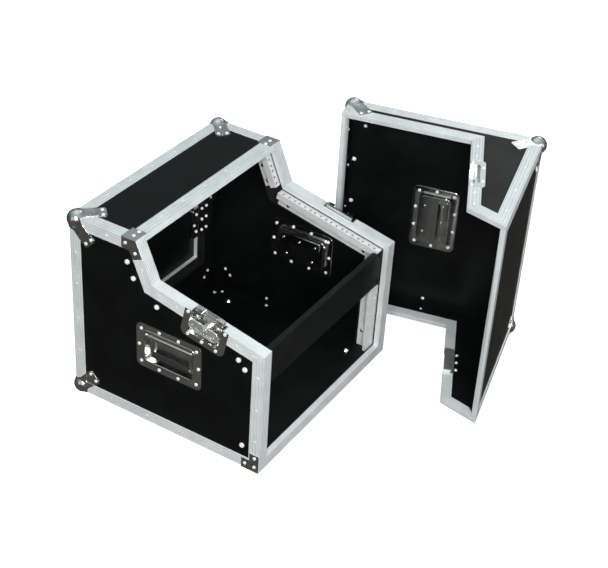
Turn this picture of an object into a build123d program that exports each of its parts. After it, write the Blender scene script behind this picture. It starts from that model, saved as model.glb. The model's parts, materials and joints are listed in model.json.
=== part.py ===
from build123d import *
import os
from math import asin, cos, degrees, hypot, radians, sin

os.makedirs("parts", exist_ok=True)

# Equipment rack case with a slanted front and a lift-off lid. Millimetres.
# X is the width, the open front faces -Y and +Z is up. The origin is the centre
# of the bottom panel's outer face; the rubber feet reach below it.

# Driving dimensions
case_width = 540.0  # over the edge profiles
base_depth = 498.0
base_height = 462.0  # over the edge profiles, without feet
top_depth = 177.0  # level top, front to back
kink_run = 40.0  # plan length of the steep upper slope
kink_drop = 93.0  # height of the steep upper slope
front_height = 310.0
lid_depth = 70.0  # how far the lid reaches in front of the base
skin = 1.5  # edge profile thickness
ply = 9.0  # panel thickness
leg = 28.0  # width of an edge profile's legs
top_leg = 32.0  # leg of the top cross profile on the top panel
lip = 13.0  # inner lip of the front frame
batten_depth = 62.0
unit = 44.45  # one rack unit
hole_pitch = 15.875  # between the holes of one unit
hole_inset = 6.35  # from a unit's edge to its first hole
rack_holes = 465.1  # between the left and right hole rows
rack_opening = 450.0
rail_setback = 17.0  # rail face behind the mating plane
rail_web = 41.0  # depth of a rail's side flange
rail_return = 16.0  # depth of a rail's inner return
rail_gauge = 2.0
rail_hole_radius = 3.3
foot_height = 25.0
foot_inset_x = 67.0
foot_inset_y = 65.0
foot_inset_back = 93.0

# Derived places
half_width = case_width / 2
front_y = -base_depth / 2
back_y = base_depth / 2
under_z = -skin
top_z = base_height - skin
wall_x = half_width - skin  # outer face of a side panel
inner_x = wall_x - ply
frame_x = half_width - leg  # inner edge of the front frame
batten_x = frame_x + skin
rail_x = rack_opening / 2
web_x = batten_x - rail_gauge
floor_z = -foot_height

top_front = (back_y - top_depth, top_z)
kink = (top_front[0] - kink_run, top_z - kink_drop)
nose = (front_y, front_height - skin)
base_outline = [
    (front_y, under_z),
    (back_y, under_z),
    (back_y, top_z),
    top_front,
    kink,
    nose,
]
lid_front_y = front_y - lid_depth
lid_outline = [
    top_front,
    (lid_front_y, top_z),
    (lid_front_y, under_z),
    (front_y, under_z),
    nose,
    kink,
]


def inset(outline, gap):
    """Move every edge of an anticlockwise outline inwards by gap, with mitred corners."""
    moved = []
    for before, here, after in zip(outline[-1:] + outline[:-1], outline, outline[1:] + outline[:1]):
        a = Vector(here[0] - before[0], here[1] - before[1]).normalized()
        b = Vector(after[0] - here[0], after[1] - here[1]).normalized()
        normal_a = Vector(-a.Y, a.X)
        normal_b = Vector(-b.Y, b.X)
        shift = (normal_a + normal_b) * (gap / (1 + normal_a.dot(normal_b)))
        moved.append((here[0] + shift.X, here[1] + shift.Y))
    return moved


def prism(plane, points, thickness):
    """Extrude a closed polygon drawn on a plane."""
    with BuildPart() as body:
        with BuildSketch(plane):
            with BuildLine():
                Polyline(*points, close=True)
            make_face()
        extrude(amount=thickness)
    return body.part


def box(x, y, z):
    """A box between two limits on each axis."""
    centre = ((x[0] + x[1]) / 2, (y[0] + y[1]) / 2, (z[0] + z[1]) / 2)
    with BuildPart() as body:
        with Locations(centre):
            Box(x[1] - x[0], y[1] - y[0], z[1] - z[0])
    return body.part


def band(outline, corners, near, deep):
    """The band between two insets of an outline, following the listed corners."""
    outer = [inset(outline, near)[i] for i in corners]
    inner = [inset(outline, deep)[i] for i in corners]
    return outer + inner[::-1]


def along(start, end, distance, depth):
    """The point at a distance along an edge and a depth to its left."""
    length = hypot(end[0] - start[0], end[1] - start[1])
    dy = (end[0] - start[0]) / length
    dz = (end[1] - start[1]) / length
    return (start[0] + dy * distance - dz * depth, start[1] + dz * distance + dy * depth)


def save(body, name, *moves):
    """Move a finished piece, name it and write it."""
    for move in moves:
        body = body.moved(move)
    body.label = name
    export_step(body, "parts/" + name + ".step")


# The lid stands beside the base on its left side, turned and leaning on its ball corners.
lid_turn = 12.7
ball_radius = 21.0
ball_inset = 11.0
ball_proud = ball_radius - ball_inset
lid_lean = degrees(asin(ball_proud / (top_front[0] - lid_front_y - ball_inset)))
lid_touch = (179.6, -544.4)  # plan position of the lowest mating corner
turn = radians(lid_turn)
lean = radians(lid_lean)
lid_up = Vector(cos(turn) * -sin(lean), sin(turn) * -sin(lean), cos(lean))
lid_side = Vector(sin(turn), -cos(turn), 0)
lid_rest = (
    Plane(origin=(lid_touch[0], lid_touch[1], floor_z), x_dir=lid_up, z_dir=lid_side).location
    * Location((half_width, -top_front[0], -top_front[1]))
)

# Hardware planes: origin on a panel's outer face, z outwards
latch_run = 145.5  # from the nose to the latch centre, along the long slope
slope_length = hypot(kink[0] - nose[0], kink[1] - nose[1])
latch_y, latch_z = along(kink, nose, slope_length - latch_run, 0)
slope_y = (kink[0] - nose[0]) / slope_length
slope_z = (kink[1] - nose[1]) / slope_length
door_half_width = 172.0
door_low = 125.0
door_high = 335.0
door_mid = (door_low + door_high) / 2
latch_left = Plane(
    origin=(-wall_x, latch_y, latch_z), x_dir=(0, -slope_y, -slope_z), z_dir=(-1, 0, 0)
)
latch_right = Plane(
    origin=(wall_x, latch_y, latch_z), x_dir=(0, slope_y, slope_z), z_dir=(1, 0, 0)
)
latch_rear = Plane(
    origin=(door_half_width, back_y - skin, door_mid), x_dir=(0, 0, -1), z_dir=(0, 1, 0)
)
latch_planes = [latch_left, latch_right, latch_rear]
handle_y = -10.0
handle_z = 204.0
handle_left = Plane(origin=(-wall_x, handle_y, handle_z), x_dir=(0, -1, 0), z_dir=(-1, 0, 0))
handle_right = Plane(origin=(wall_x, handle_y, handle_z), x_dir=(0, 1, 0), z_dir=(1, 0, 0))
lid_handle_z = 232.0
handle_lid = Plane(
    origin=(0, lid_front_y + skin, lid_handle_z), x_dir=(1, 0, 0), z_dir=(0, -1, 0)
)

# Recessed handle, drawn on its panel's plane with Y up
dish_length = 170.0
dish_height = 114.0
dish_gauge = 1.2
pocket_length = 126.0
pocket_height = 74.0
pocket_depth = 18.0
handle_cut_length = 141.0
handle_cut_height = 82.0
bail_pivot_y = 24.0
bail_z = -8.0
grip_y = -22.0
rod_radius = 3.0
rod_bore = 3.08
sleeve_radius = 6.5
arm_inner = 48.0
arm_outer = 54.0
grip_radius = 7.2
wall_outer = pocket_length / 2 + dish_gauge

with BuildPart() as dish_master:
    with BuildSketch():
        RectangleRounded(dish_length, dish_height, 14)
    extrude(amount=dish_gauge)
    with BuildSketch():
        RectangleRounded(pocket_length + 2 * dish_gauge, pocket_height + 2 * dish_gauge, 9.2)
    extrude(amount=-pocket_depth)
    with BuildSketch(Plane.XY.offset(dish_gauge)):
        RectangleRounded(pocket_length, pocket_height, 8)
    extrude(amount=-pocket_depth, mode=Mode.SUBTRACT)
    with BuildSketch(Plane.YZ.offset(-wall_outer - 1)):
        with Locations((bail_pivot_y, bail_z)):
            Circle(rod_radius)
    extrude(amount=2 * wall_outer + 2, mode=Mode.SUBTRACT)

with BuildPart() as rod_master:
    with BuildSketch(Plane.YZ.offset(-wall_outer)):
        with Locations((bail_pivot_y, bail_z)):
            Circle(rod_radius)
    extrude(amount=2 * wall_outer)
    for end in (-wall_outer - 1.5, wall_outer):
        with BuildSketch(Plane.YZ.offset(end)):
            with Locations((bail_pivot_y, bail_z)):
                Circle(5)
        extrude(amount=1.5)

with BuildPart() as bail_master:
    with BuildSketch(Plane.YZ.offset(-arm_outer)):
        with Locations((bail_pivot_y, bail_z)):
            Circle(sleeve_radius)
    extrude(amount=2 * arm_outer)
    for start in (-arm_outer, arm_inner):
        with BuildSketch(Plane.YZ.offset(start)):
            with Locations((bail_pivot_y, bail_z), (grip_y, bail_z)):
                Circle(sleeve_radius - 2)
            with Locations(((bail_pivot_y + grip_y) / 2, bail_z)):
                Rectangle(bail_pivot_y - grip_y, 5.6)
        extrude(amount=arm_outer - arm_inner)
    with BuildSketch(Plane.YZ.offset(-arm_inner)):
        with Locations((grip_y, bail_z)):
            Circle(rod_radius)
    extrude(amount=2 * arm_inner)
    with BuildSketch(Plane.YZ.offset(-arm_outer)):
        with Locations((bail_pivot_y, bail_z)):
            Circle(rod_bore)
    extrude(amount=2 * arm_outer, mode=Mode.SUBTRACT)

with BuildPart() as grip_master:
    with BuildSketch(Plane.YZ.offset(-arm_inner)):
        with Locations((grip_y, bail_z)):
            Circle(grip_radius)
            Circle(rod_radius, mode=Mode.SUBTRACT)
    extrude(amount=2 * arm_inner)

spring_radius = 4.6
spring_wire = 0.6
with BuildPart() as spring_master:
    with BuildLine() as coil:
        Helix(pitch=1.5, height=6, radius=spring_radius)
    with BuildSketch(Plane(origin=coil.line @ 0, z_dir=coil.line % 0)):
        Circle(spring_wire)
    sweep()
spring_right = Plane(origin=(arm_outer + 1, bail_pivot_y, bail_z), z_dir=(1, 0, 0))
spring_left = Plane(origin=(-arm_outer - 1, bail_pivot_y, bail_z), z_dir=(-1, 0, 0))
spring_pair = Compound(
    [spring_master.part.moved(spring_left.location), spring_master.part.moved(spring_right.location)]
)

# Butterfly latch, drawn with Y towards the keeper; Y=0 is the mating line
latch_width = 112.0
latch_reach = 69.0  # dish on the key side of the mating line
keeper_reach = 35.0
latch_pocket = 80.0
latch_pocket_reach = 55.0
keeper_pocket_reach = 23.0
latch_depth = 18.0
spindle_y = -27.0
spindle_radius = 3.0
spindle_bore = 3.08
hub_radius = 10.0
hub_low = -11.8
wing_low = 3.2
wing_length = 76.0
wing_width = 27.0
tongue_travel = 12.0

with BuildPart() as latch_dish_master:
    with BuildSketch() as flange_outline:
        Rectangle(latch_width, latch_reach, align=(Align.CENTER, Align.MAX))
        fillet(flange_outline.vertices().group_by(Axis.Y)[0], 16)
    extrude(amount=dish_gauge)
    with BuildSketch() as pocket_outline:
        Rectangle(
            latch_pocket + 2 * dish_gauge,
            latch_pocket_reach + dish_gauge,
            align=(Align.CENTER, Align.MAX),
        )
        fillet(pocket_outline.vertices().group_by(Axis.Y)[0], 9.2)
    extrude(amount=-latch_depth)
    with BuildSketch(Plane.XY.offset(dish_gauge)) as pocket_inside:
        Rectangle(latch_pocket, latch_pocket_reach, align=(Align.CENTER, Align.MAX))
        fillet(pocket_inside.vertices().group_by(Axis.Y)[0], 8)
    extrude(amount=-latch_depth, mode=Mode.SUBTRACT)

with BuildPart() as keeper_master:
    with BuildSketch() as keeper_outline:
        Rectangle(latch_width, keeper_reach, align=(Align.CENTER, Align.MIN))
        fillet(keeper_outline.vertices().group_by(Axis.Y)[-1], 10)
    extrude(amount=dish_gauge)
    with BuildSketch() as keeper_pocket:
        Rectangle(
            latch_pocket + 2 * dish_gauge,
            keeper_pocket_reach + dish_gauge,
            align=(Align.CENTER, Align.MIN),
        )
        fillet(keeper_pocket.vertices().group_by(Axis.Y)[-1], 9.2)
    extrude(amount=-latch_depth)
    with BuildSketch(Plane.XY.offset(dish_gauge)) as keeper_inside:
        Rectangle(latch_pocket, keeper_pocket_reach, align=(Align.CENTER, Align.MIN))
        fillet(keeper_inside.vertices().group_by(Axis.Y)[-1], 8)
    extrude(amount=-latch_depth, mode=Mode.SUBTRACT)
    with BuildSketch(Plane.YZ.offset(-16)):
        with BuildLine():
            Polyline((13, -16.9), (13, -5), (9, -5), (9, -6.5), (11.5, -6.5), (11.5, -16.9), close=True)
        make_face()
    extrude(amount=32)

floor_top = dish_gauge - latch_depth
with BuildPart() as latch_plate_master:
    with BuildSketch(Plane.XY.offset(floor_top)):
        with Locations((0, spindle_y)):
            RectangleRounded(62, 46, 5)
    extrude(amount=1.8)
    with BuildSketch(Plane.XY.offset(floor_top + 1)):
        with Locations((0, spindle_y)):
            Circle(spindle_radius)
    extrude(amount=15.4)

with BuildPart() as tongue_master:
    with BuildSketch(Plane.XY.offset(-14.6)):
        with Locations((0, -24)):
            Rectangle(22, 44)
        with Locations((0, spindle_y - tongue_travel / 2)):
            SlotOverall(tongue_travel + 6.6, 6.6, rotation=90, mode=Mode.SUBTRACT)
    extrude(amount=2.5)
    with BuildSketch(Plane.XY.offset(-14.6)):
        with Locations((0, -4)):
            Rectangle(22, 4)
    extrude(amount=7.6)

with BuildPart() as key_master:
    with BuildSketch(Plane.XY.offset(hub_low)):
        with Locations((0, spindle_y)):
            Circle(hub_radius)
    extrude(amount=wing_low - hub_low)
    with BuildSketch(Plane.XY.offset(wing_low)):
        with Locations((0, spindle_y)):
            SlotOverall(wing_length, wing_width)
        with Locations((-28, spindle_y), (28, spindle_y)):
            Circle(2.2, mode=Mode.SUBTRACT)
    extrude(amount=2)
    with BuildSketch(Plane.XY.offset(hub_low)):
        with Locations((0, spindle_y)):
            Circle(spindle_bore)
    extrude(amount=11.6, mode=Mode.SUBTRACT)

# Ball corner, drawn with the case in the positive octant and its profile faces at zero
strap = [
    (-skin, -skin),
    (30, -skin),
    (35, 13),
    (56, 32),
    (66, 41),
    (66, 46),
    (46, 66),
    (41, 66),
    (32, 56),
    (13, 35),
    (-skin, 30),
]
far = 120.0
face_planes = [Plane.XY, Plane.YZ, Plane.ZX]
with BuildPart() as corner_space:
    with BuildSketch():
        Rectangle(far, far, align=(Align.MIN, Align.MIN))
    extrude(amount=far)
    for face in face_planes:
        with BuildSketch(face):
            with Locations((leg, leg)):
                Rectangle(far, far, align=(Align.MIN, Align.MIN))
        extrude(amount=skin, mode=Mode.SUBTRACT)

with BuildPart() as ball_master:
    for face in face_planes:
        with BuildSketch(face.offset(-skin)):
            with BuildLine():
                Polyline(*strap, close=True)
            make_face()
        extrude(amount=2 * skin)
    with Locations((ball_inset, ball_inset, ball_inset)):
        Sphere(ball_radius)
    for face in face_planes:
        with BuildSketch(face.offset(-skin)):
            with Locations((leg + skin, leg + skin)):
                Rectangle(far, far, align=(Align.MIN, Align.MIN))
        extrude(amount=skin, mode=Mode.SUBTRACT)
    add(corner_space.part, mode=Mode.SUBTRACT)


with BuildPart() as low_ball_master:
    for face in face_planes:
        with BuildSketch(face.offset(-skin)):
            with BuildLine():
                Polyline(*strap, close=True)
            make_face()
        extrude(amount=skin)
    with Locations((ball_inset, ball_inset, ball_inset)):
        Sphere(ball_radius)
    with Locations((0, 0, 0)):
        Box(far, far, far, align=(Align.MIN, Align.MIN, Align.MIN), mode=Mode.SUBTRACT)


def corner_frame(point, into):
    """Place a ball corner at a case corner; into holds the signs that point into the case."""
    sx, sy, sz = into
    if sx * sy * sz > 0:
        return Plane(origin=point, x_dir=(sx, 0, 0), z_dir=(0, 0, sz))
    return Plane(origin=point, x_dir=(0, sy, 0), z_dir=(0, 0, sz))


base_corners = [
    corner_frame((sx * half_width, back_y, z), (-sx, -1, sz))
    for sx in (-1, 1)
    for z, sz in ((under_z, 1), (top_z, -1))
]
lid_corners = [
    corner_frame((sx * half_width, lid_front_y, z), (-sx, 1, sz))
    for sx in (-1, 1)
    for z, sz in ((under_z, 1), (top_z, -1))
]

# Cutters
handle_cut = box(
    (-handle_cut_length / 2, handle_cut_length / 2),
    (-handle_cut_height / 2, handle_cut_height / 2),
    (-far, far),
)
latch_cut = box(
    (-latch_pocket / 2 - 2, latch_pocket / 2 + 2), (-latch_pocket_reach - 3, far), (-latch_depth - 1, far)
)
keeper_cut = box(
    (-latch_pocket / 2 - 2, latch_pocket / 2 + 2),
    (-far, keeper_pocket_reach + 3),
    (-latch_depth - 1, far),
)
dish_cut = box((-latch_width / 2, latch_width / 2), (-latch_reach, far), (-0.01, far))
keeper_dish_cut = box((-latch_width / 2, latch_width / 2), (-far, keeper_reach), (-0.01, far))

# Rail screws: from the nose upwards on each run, at a fixed depth behind the mating plane
screw_depth = 46.0
screw_places = [
    along((front_y, under_z), nose, 56, -screw_depth),
    along((front_y, under_z), nose, 258, -screw_depth),
    along(nose, kink, 54, -screw_depth),
    along(nose, kink, 266, -screw_depth),
    along(kink, top_front, 18, -screw_depth),
    along(kink, top_front, 57, -screw_depth),
]
screw_radius = 2.5
screw_clearance = 2.7

# Plywood shell of the base
panel_outline = inset(base_outline, skin)
inner_outline = inset(base_outline, skin + ply)


def side_panel(x_low, handle, latch):
    """A side panel with its handle, latch and rail screw cut-outs."""
    with BuildPart() as panel:
        with BuildSketch(Plane.YZ.offset(x_low)):
            with BuildLine():
                Polyline(*panel_outline, close=True)
            make_face()
            with Locations(*screw_places):
                Circle(screw_clearance, mode=Mode.SUBTRACT)
        extrude(amount=ply)
        add(handle_cut.moved(handle.location), mode=Mode.SUBTRACT)
        add(latch_cut.moved(latch.location), mode=Mode.SUBTRACT)
    return panel.part


save(side_panel(-wall_x, handle_left, latch_left), "side_panel_left")
save(side_panel(inner_x, handle_right, latch_right), "side_panel_right")

foot_places = [
    (sx * (half_width - foot_inset_x), y)
    for sx in (-1, 1)
    for y in (front_y + foot_inset_y, back_y - foot_inset_back)
]
bolt_radius = 3.0
with BuildPart() as bottom_panel:
    with BuildSketch():
        Rectangle(2 * inner_x, base_depth - 2 * skin)
        with Locations(*foot_places):
            Circle(bolt_radius + 0.2, mode=Mode.SUBTRACT)
    extrude(amount=ply)
save(bottom_panel.part, "bottom_panel")

sheet_back = back_y - skin  # outer face of the back panel
rebate = 4.0  # how far the door laps the ring batten
with BuildPart() as back_panel:
    with BuildSketch(Plane.XZ.offset(-sheet_back)):
        with Locations((0, (ply + top_z - skin) / 2)):
            Rectangle(2 * inner_x, top_z - skin - ply)
        with Locations((0, door_mid)):
            Rectangle(2 * door_half_width, door_high - door_low, mode=Mode.SUBTRACT)
    extrude(amount=ply)
    add(latch_cut.moved(latch_rear.location), mode=Mode.SUBTRACT)
save(back_panel.part, "back_panel")

top_profile = [
    (sheet_back - ply, top_z - skin),
    panel_outline[3],
    along(panel_outline[3], panel_outline[4], ply / (kink_drop / hypot(kink_run, kink_drop)), 0),
    (sheet_back - ply, top_z - skin - ply),
]
save(prism(Plane.YZ.offset(-inner_x), top_profile, 2 * inner_x), "top_panel")

# Battens behind the front frame, and the ring batten round the rear door
mating_corners = (3, 4, 5, 0)
ceiling = top_z - skin - ply
above_ceiling = box((-3 * far, 3 * far), (-3 * far, 3 * far), (ceiling, 6 * far))
below_floor = box((-3 * far, 3 * far), (-3 * far, 3 * far), (-far, ply))


def frame_batten(x_low, latch):
    """A side batten that follows the front opening, with its latch and screw cut-outs."""
    with BuildPart() as batten:
        with BuildSketch(Plane.YZ.offset(x_low)):
            with BuildLine():
                Polyline(*band(base_outline, mating_corners, skin, skin + batten_depth), close=True)
            make_face()
            with BuildLine():
                Polyline(
                    (front_y + skin, ply),
                    (front_y + skin + batten_depth, ply),
                    (front_y + skin + batten_depth, ply + 2 * batten_depth),
                    (front_y + skin, ply + 2 * batten_depth),
                    close=True,
                )
            make_face()
            with Locations(*screw_places):
                Circle(screw_clearance, mode=Mode.SUBTRACT)
        extrude(amount=inner_x - batten_x)
        add(latch_cut.moved(latch.location), mode=Mode.SUBTRACT)
        add(above_ceiling, mode=Mode.SUBTRACT)
        add(below_floor, mode=Mode.SUBTRACT)
    return batten.part


sill_height = leg - skin
sill_batten = box(
    (-batten_x, batten_x), (front_y + skin, front_y + rail_setback - 0.5), (ply, sill_height - skin)
)
ring_border = 28.0
with BuildPart() as ring_batten:
    with BuildSketch(Plane.XZ.offset(-(sheet_back - ply))):
        with Locations((0, door_mid)):
            Rectangle(2 * (door_half_width + ring_border), door_high - door_low + 2 * ring_border)
            Rectangle(
                2 * (door_half_width - rebate), door_high - door_low - 2 * rebate, mode=Mode.SUBTRACT
            )
    extrude(amount=ply)
    add(latch_cut.moved(latch_rear.location), mode=Mode.SUBTRACT)
battens = frame_batten(-inner_x, latch_left).solids() + frame_batten(batten_x, latch_right).solids()
save(Compound(battens + [sill_batten.solid()] + ring_batten.part.solids()), "wooden_battens")


steep = hypot(kink_run, kink_drop)
cross_length = (skin + ply) * steep / kink_drop
with BuildPart() as cross:
    with BuildSketch(Plane.YZ.offset(-wall_x)):
        with BuildLine():
            Polyline(
                top_front,
                along(top_front, kink, cross_length, 0),
                along(top_front, kink, cross_length, skin),
                panel_outline[3],
                (top_front[0] + top_leg, top_z - skin),
                (top_front[0] + top_leg, top_z),
                close=True,
            )
        make_face()
    extrude(amount=2 * wall_x)
save(cross.part, "top_cross_profile")


def front_frame(side):
    """Channel that follows the front opening: outer leg, mating face and inner lip."""
    latch = latch_left if side < 0 else latch_right
    outer_leg = prism(
        Plane.YZ.offset(-half_width if side < 0 else wall_x),
        band(base_outline, mating_corners, 0, leg),
        skin,
    )
    mating_face = prism(
        Plane.YZ.offset(-half_width if side < 0 else frame_x),
        band(base_outline, mating_corners, 0, skin),
        leg,
    )
    inner_lip = prism(
        Plane.YZ.offset(-batten_x if side < 0 else frame_x),
        band(base_outline, mating_corners, skin, lip),
        skin,
    )
    sill_clear = box((-batten_x, batten_x), (front_y + skin / 2, back_y), (-far, sill_height))
    with BuildPart() as frame:
        add(outer_leg)
        add(mating_face)
        add(inner_lip)
        add(sill_clear, mode=Mode.SUBTRACT)
        add(top_clear, mode=Mode.SUBTRACT)
        add(cross.part, mode=Mode.SUBTRACT)
        add(sheet_clear, mode=Mode.SUBTRACT)
        add(dish_cut.moved(latch.location), mode=Mode.SUBTRACT)
        add(latch_cut.moved(latch.location), mode=Mode.SUBTRACT)
    return frame.part


top_clear = box((-wall_x, wall_x), (front_y, back_y), (ceiling, top_z + 1))
sheet_clear = box((-wall_x, wall_x), (front_y - 1, back_y), (-far, 0))
save(front_frame(-1), "front_frame_left")
save(front_frame(1), "front_frame_right")

with BuildPart() as sill:
    with BuildSketch(Plane.YZ.offset(-frame_x)):
        with BuildLine():
            Polyline(
                (front_y, 0),
                (front_y + skin, 0),
                (front_y + skin, sill_height - skin),
                (front_y + lip, sill_height - skin),
                (front_y + lip, sill_height),
                (front_y, sill_height),
                close=True,
            )
        make_face()
    extrude(amount=2 * frame_x)
    with BuildSketch(Plane.XY.offset(under_z)):
        with BuildLine():
            Polyline(
                (-wall_x, front_y),
                (wall_x, front_y),
                (wall_x, front_y + skin),
                (frame_x, front_y + leg),
                (-frame_x, front_y + leg),
                (-wall_x, front_y + skin),
                close=True,
            )
        make_face()
    extrude(amount=skin)
save(sill.part, "front_sill_profile")

def angle(length, trims_y, trims_z):
    """Equal angle along +X, legs on +Y and +Z; trims shorten each leg's free edge at both ends."""
    with BuildPart() as profile:
        with BuildSketch(Plane.XY):
            with BuildLine():
                Polyline(
                    (0, 0), (length, 0), (length - trims_y[1], leg), (trims_y[0], leg), close=True
                )
            make_face()
        extrude(amount=skin)
        with BuildSketch(Plane.XZ):
            with BuildLine():
                Polyline(
                    (0, 0), (length, 0), (length - trims_z[1], leg), (trims_z[0], leg), close=True
                )
            make_face()
        extrude(amount=-skin)
    return profile.part


def edge(start, end, leg_a, leg_b, trims_a=(leg, leg), trims_b=(leg, leg)):
    """An edge angle from start to end, with its legs pointing along leg_a and leg_b."""
    run = Vector(*end) - Vector(*start)
    direction = run.normalized()
    if direction.cross(Vector(*leg_a)).dot(Vector(*leg_b)) < 0:
        leg_a, leg_b = leg_b, leg_a
        trims_a, trims_b = trims_b, trims_a
    place = Plane(origin=start, x_dir=direction, z_dir=leg_b)
    return angle(run.length, trims_a, trims_b).moved(place.location)


corner_block = box((-1, 2 * skin), (-1, 2 * skin), (-1, 2 * skin))


def edge_group(pieces, corners, cutters=()):
    """Edge angles as separate solids, cleared at the corners and by the cutters."""
    blocks = [corner_block.moved(plane.location) for plane in corners]
    trimmed = []
    for piece in pieces:
        with BuildPart() as cut_piece:
            add(piece)
            for block in blocks + list(cutters):
                add(block, mode=Mode.SUBTRACT)
        trimmed += cut_piece.part.solids()
    return Compound(trimmed)


top_trim = inset(base_outline, leg)[3][0] - top_front[0]
base_edges = [
    edge((-half_width, back_y, under_z), (half_width, back_y, under_z), (0, -1, 0), (0, 0, 1)),
    edge((-half_width, back_y, top_z), (half_width, back_y, top_z), (0, -1, 0), (0, 0, -1)),
]
for sx in (-1, 1):
    edge_x = sx * half_width
    low_back = (edge_x, back_y, under_z)
    base_edges.append(edge(low_back, (edge_x, back_y, top_z), (-sx, 0, 0), (0, -1, 0)))
    base_edges.append(edge((edge_x, front_y, under_z), low_back, (-sx, 0, 0), (0, 0, 1)))
    base_edges.append(
        edge(
            (sx * half_width, top_front[0], top_z),
            (sx * half_width, back_y, top_z),
            (-sx, 0, 0),
            (0, 0, -1),
            (0, leg),
            (top_trim, leg),
        )
    )
cross_clear = box((-wall_x, wall_x), (front_y, top_front[0] + top_leg), (top_z - skin, top_z + 1))
front_ends = [corner_frame((sx * half_width, front_y, under_z), (-sx, 1, 1)) for sx in (-1, 1)]
front_ends += [corner_frame((sx * half_width, top_front[0], top_z), (-sx, 1, -1)) for sx in (-1, 1)]
save(edge_group(base_edges, base_corners + front_ends, [cross_clear]), "base_edge_profiles")

# Rack rails: U-shaped strips that follow the side flanges of the mating frame
nose_turn = radians(90) - asin(slope_z)
nose_slant = sin(nose_turn / 2) / cos(nose_turn / 2)
runs = {
    "front": dict(
        start=(front_y, under_z),
        end=nose,
        low=11.0,
        high=front_height - 0.2,
        slant_low=0.0,
        slant_high=nose_slant,
        first_unit=27.5,
        units=6,
    ),
    "slope": dict(
        start=nose,
        end=kink,
        low=0.2,
        high=slope_length + 8.0,
        slant_low=nose_slant,
        slant_high=0.0,
        first_unit=22.0,
        units=6,
    ),
    "top": dict(
        start=kink,
        end=top_front,
        low=4.0,
        high=94.5,
        slant_low=0.0,
        slant_high=0.0,
        first_unit=5.0,
        units=2,
    ),
}


def run_points(run, near, deep):
    """The outline of a rail strip between two depths behind the mating line."""
    corners = []
    for limit, slant, depth in (
        ("low", run["slant_low"], near),
        ("high", -run["slant_high"], near),
        ("high", -run["slant_high"], deep),
        ("low", run["slant_low"], deep),
    ):
        corners.append(along(run["start"], run["end"], run[limit] + slant * depth, -depth))
    return corners


def rail(run, side):
    """One rack rail with its row of holes and its side screw holes."""
    start, end = run["start"], run["end"]
    face = rail_setback + rail_gauge
    sections = (
        (rail_x, batten_x, rail_setback, face),
        (rail_x, rail_x + rail_gauge, rail_setback, rail_setback + rail_return),
        (web_x, batten_x, rail_setback, rail_setback + rail_web),
    )
    pieces = []
    for x_in, x_out, near, deep in sections:
        x_low = min(side * x_in, side * x_out)
        pieces.append(prism(Plane.YZ.offset(x_low), run_points(run, near, deep), x_out - x_in))
    length = hypot(end[0] - start[0], end[1] - start[1])
    dy = (end[0] - start[0]) / length
    dz = (end[1] - start[1]) / length
    origin = along(start, end, run["first_unit"], -rail_setback)
    hole_plane = Plane(origin=(0, *origin), x_dir=(1, 0, 0), z_dir=(0, -dz, dy))
    holes = [
        (side * rack_holes / 2, hole_inset + unit * count + hole_pitch * step)
        for count in range(run["units"])
        for step in range(3)
    ]
    with BuildPart() as strip:
        for piece in pieces:
            add(piece)
        with BuildSketch(hole_plane.offset(1)):
            with Locations(*holes):
                Circle(rail_hole_radius)
        extrude(amount=-rail_gauge - 2, mode=Mode.SUBTRACT)
        with BuildSketch(Plane.YZ.offset(side * batten_x)):
            with Locations(*screw_places):
                Circle(screw_clearance)
        extrude(amount=-side * 2 * rail_gauge, mode=Mode.SUBTRACT)
    return strip.part


for name, run in runs.items():
    save(Compound([rail(run, -1).solid(), rail(run, 1).solid()]), "rack_rails_" + name)

screw_head = 2.4
with BuildPart() as rail_screw:
    with BuildSketch():
        Circle(5.5)
    extrude(amount=screw_head)
    with BuildSketch():
        Circle(screw_radius)
    extrude(amount=-(wall_x - web_x + 4.5))
    with BuildSketch(Plane.XY.offset(-(wall_x - web_x))):
        RegularPolygon(4.6, 6)
    extrude(amount=-3.6)
rail_screws = []
for y, z in screw_places:
    for side in (-1, 1):
        place = Plane(origin=(side * wall_x, y, z), x_dir=(0, side, 0), z_dir=(side, 0, 0))
        rail_screws.append(rail_screw.part.solid().moved(place.location))
save(Compound(rail_screws), "rail_screws")

# Blank panel in the top two units of the front bay
panel_gauge = 2.0
blank_low = under_z + 27.5 + 4 * unit
blank_height = 2 * unit - 0.8
blank_fold = 12.0
blank_y = front_y + rail_setback
blank_holes = [
    (sx * rack_holes / 2, sz * (unit - hole_inset)) for sx in (-1, 1) for sz in (-1, 1)
]
with BuildPart() as blank:
    with BuildSketch(Plane.XZ.offset(-blank_y)):
        with Locations((0, blank_low + unit)):
            Rectangle(2 * 241.3, blank_height)
            with Locations(*blank_holes):
                SlotOverall(9.6, 6.8, mode=Mode.SUBTRACT)
    extrude(amount=panel_gauge)
    for sz in (-1, 1):
        fold_z = blank_low + unit + sz * (blank_height - panel_gauge) / 2
        with Locations((0, blank_y + blank_fold / 2, fold_z)):
            Box(2 * (rail_x - 3), blank_fold, panel_gauge)
save(blank.part, "blank_panel")

with BuildPart() as panel_screw:
    with BuildSketch(Plane.XZ.offset(-(blank_y - panel_gauge))):
        Circle(5.6)
    extrude(amount=3.2)
    with BuildSketch(Plane.XZ.offset(-(blank_y - panel_gauge))):
        Circle(3.0)
    extrude(amount=-14)
    with BuildSketch(Plane.XZ.offset(-(blank_y - panel_gauge - 3.3))):
        RegularPolygon(2.8, 6)
    extrude(amount=-2.4, mode=Mode.SUBTRACT)
panel_screws = []
for sx in (-1, 1):
    for sz in (-1, 1):
        z = blank_low + unit + sz * (unit - hole_inset)
        panel_screws.append(panel_screw.part.solid().moved(Location((sx * rack_holes / 2, 0, z))))
save(Compound(panel_screws), "blank_panel_screws")

# Ball corners and corner braces
base_balls = [ball_master.part.solid().moved(plane.location) for plane in base_corners]
save(Compound(base_balls), "base_ball_corners")

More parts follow.
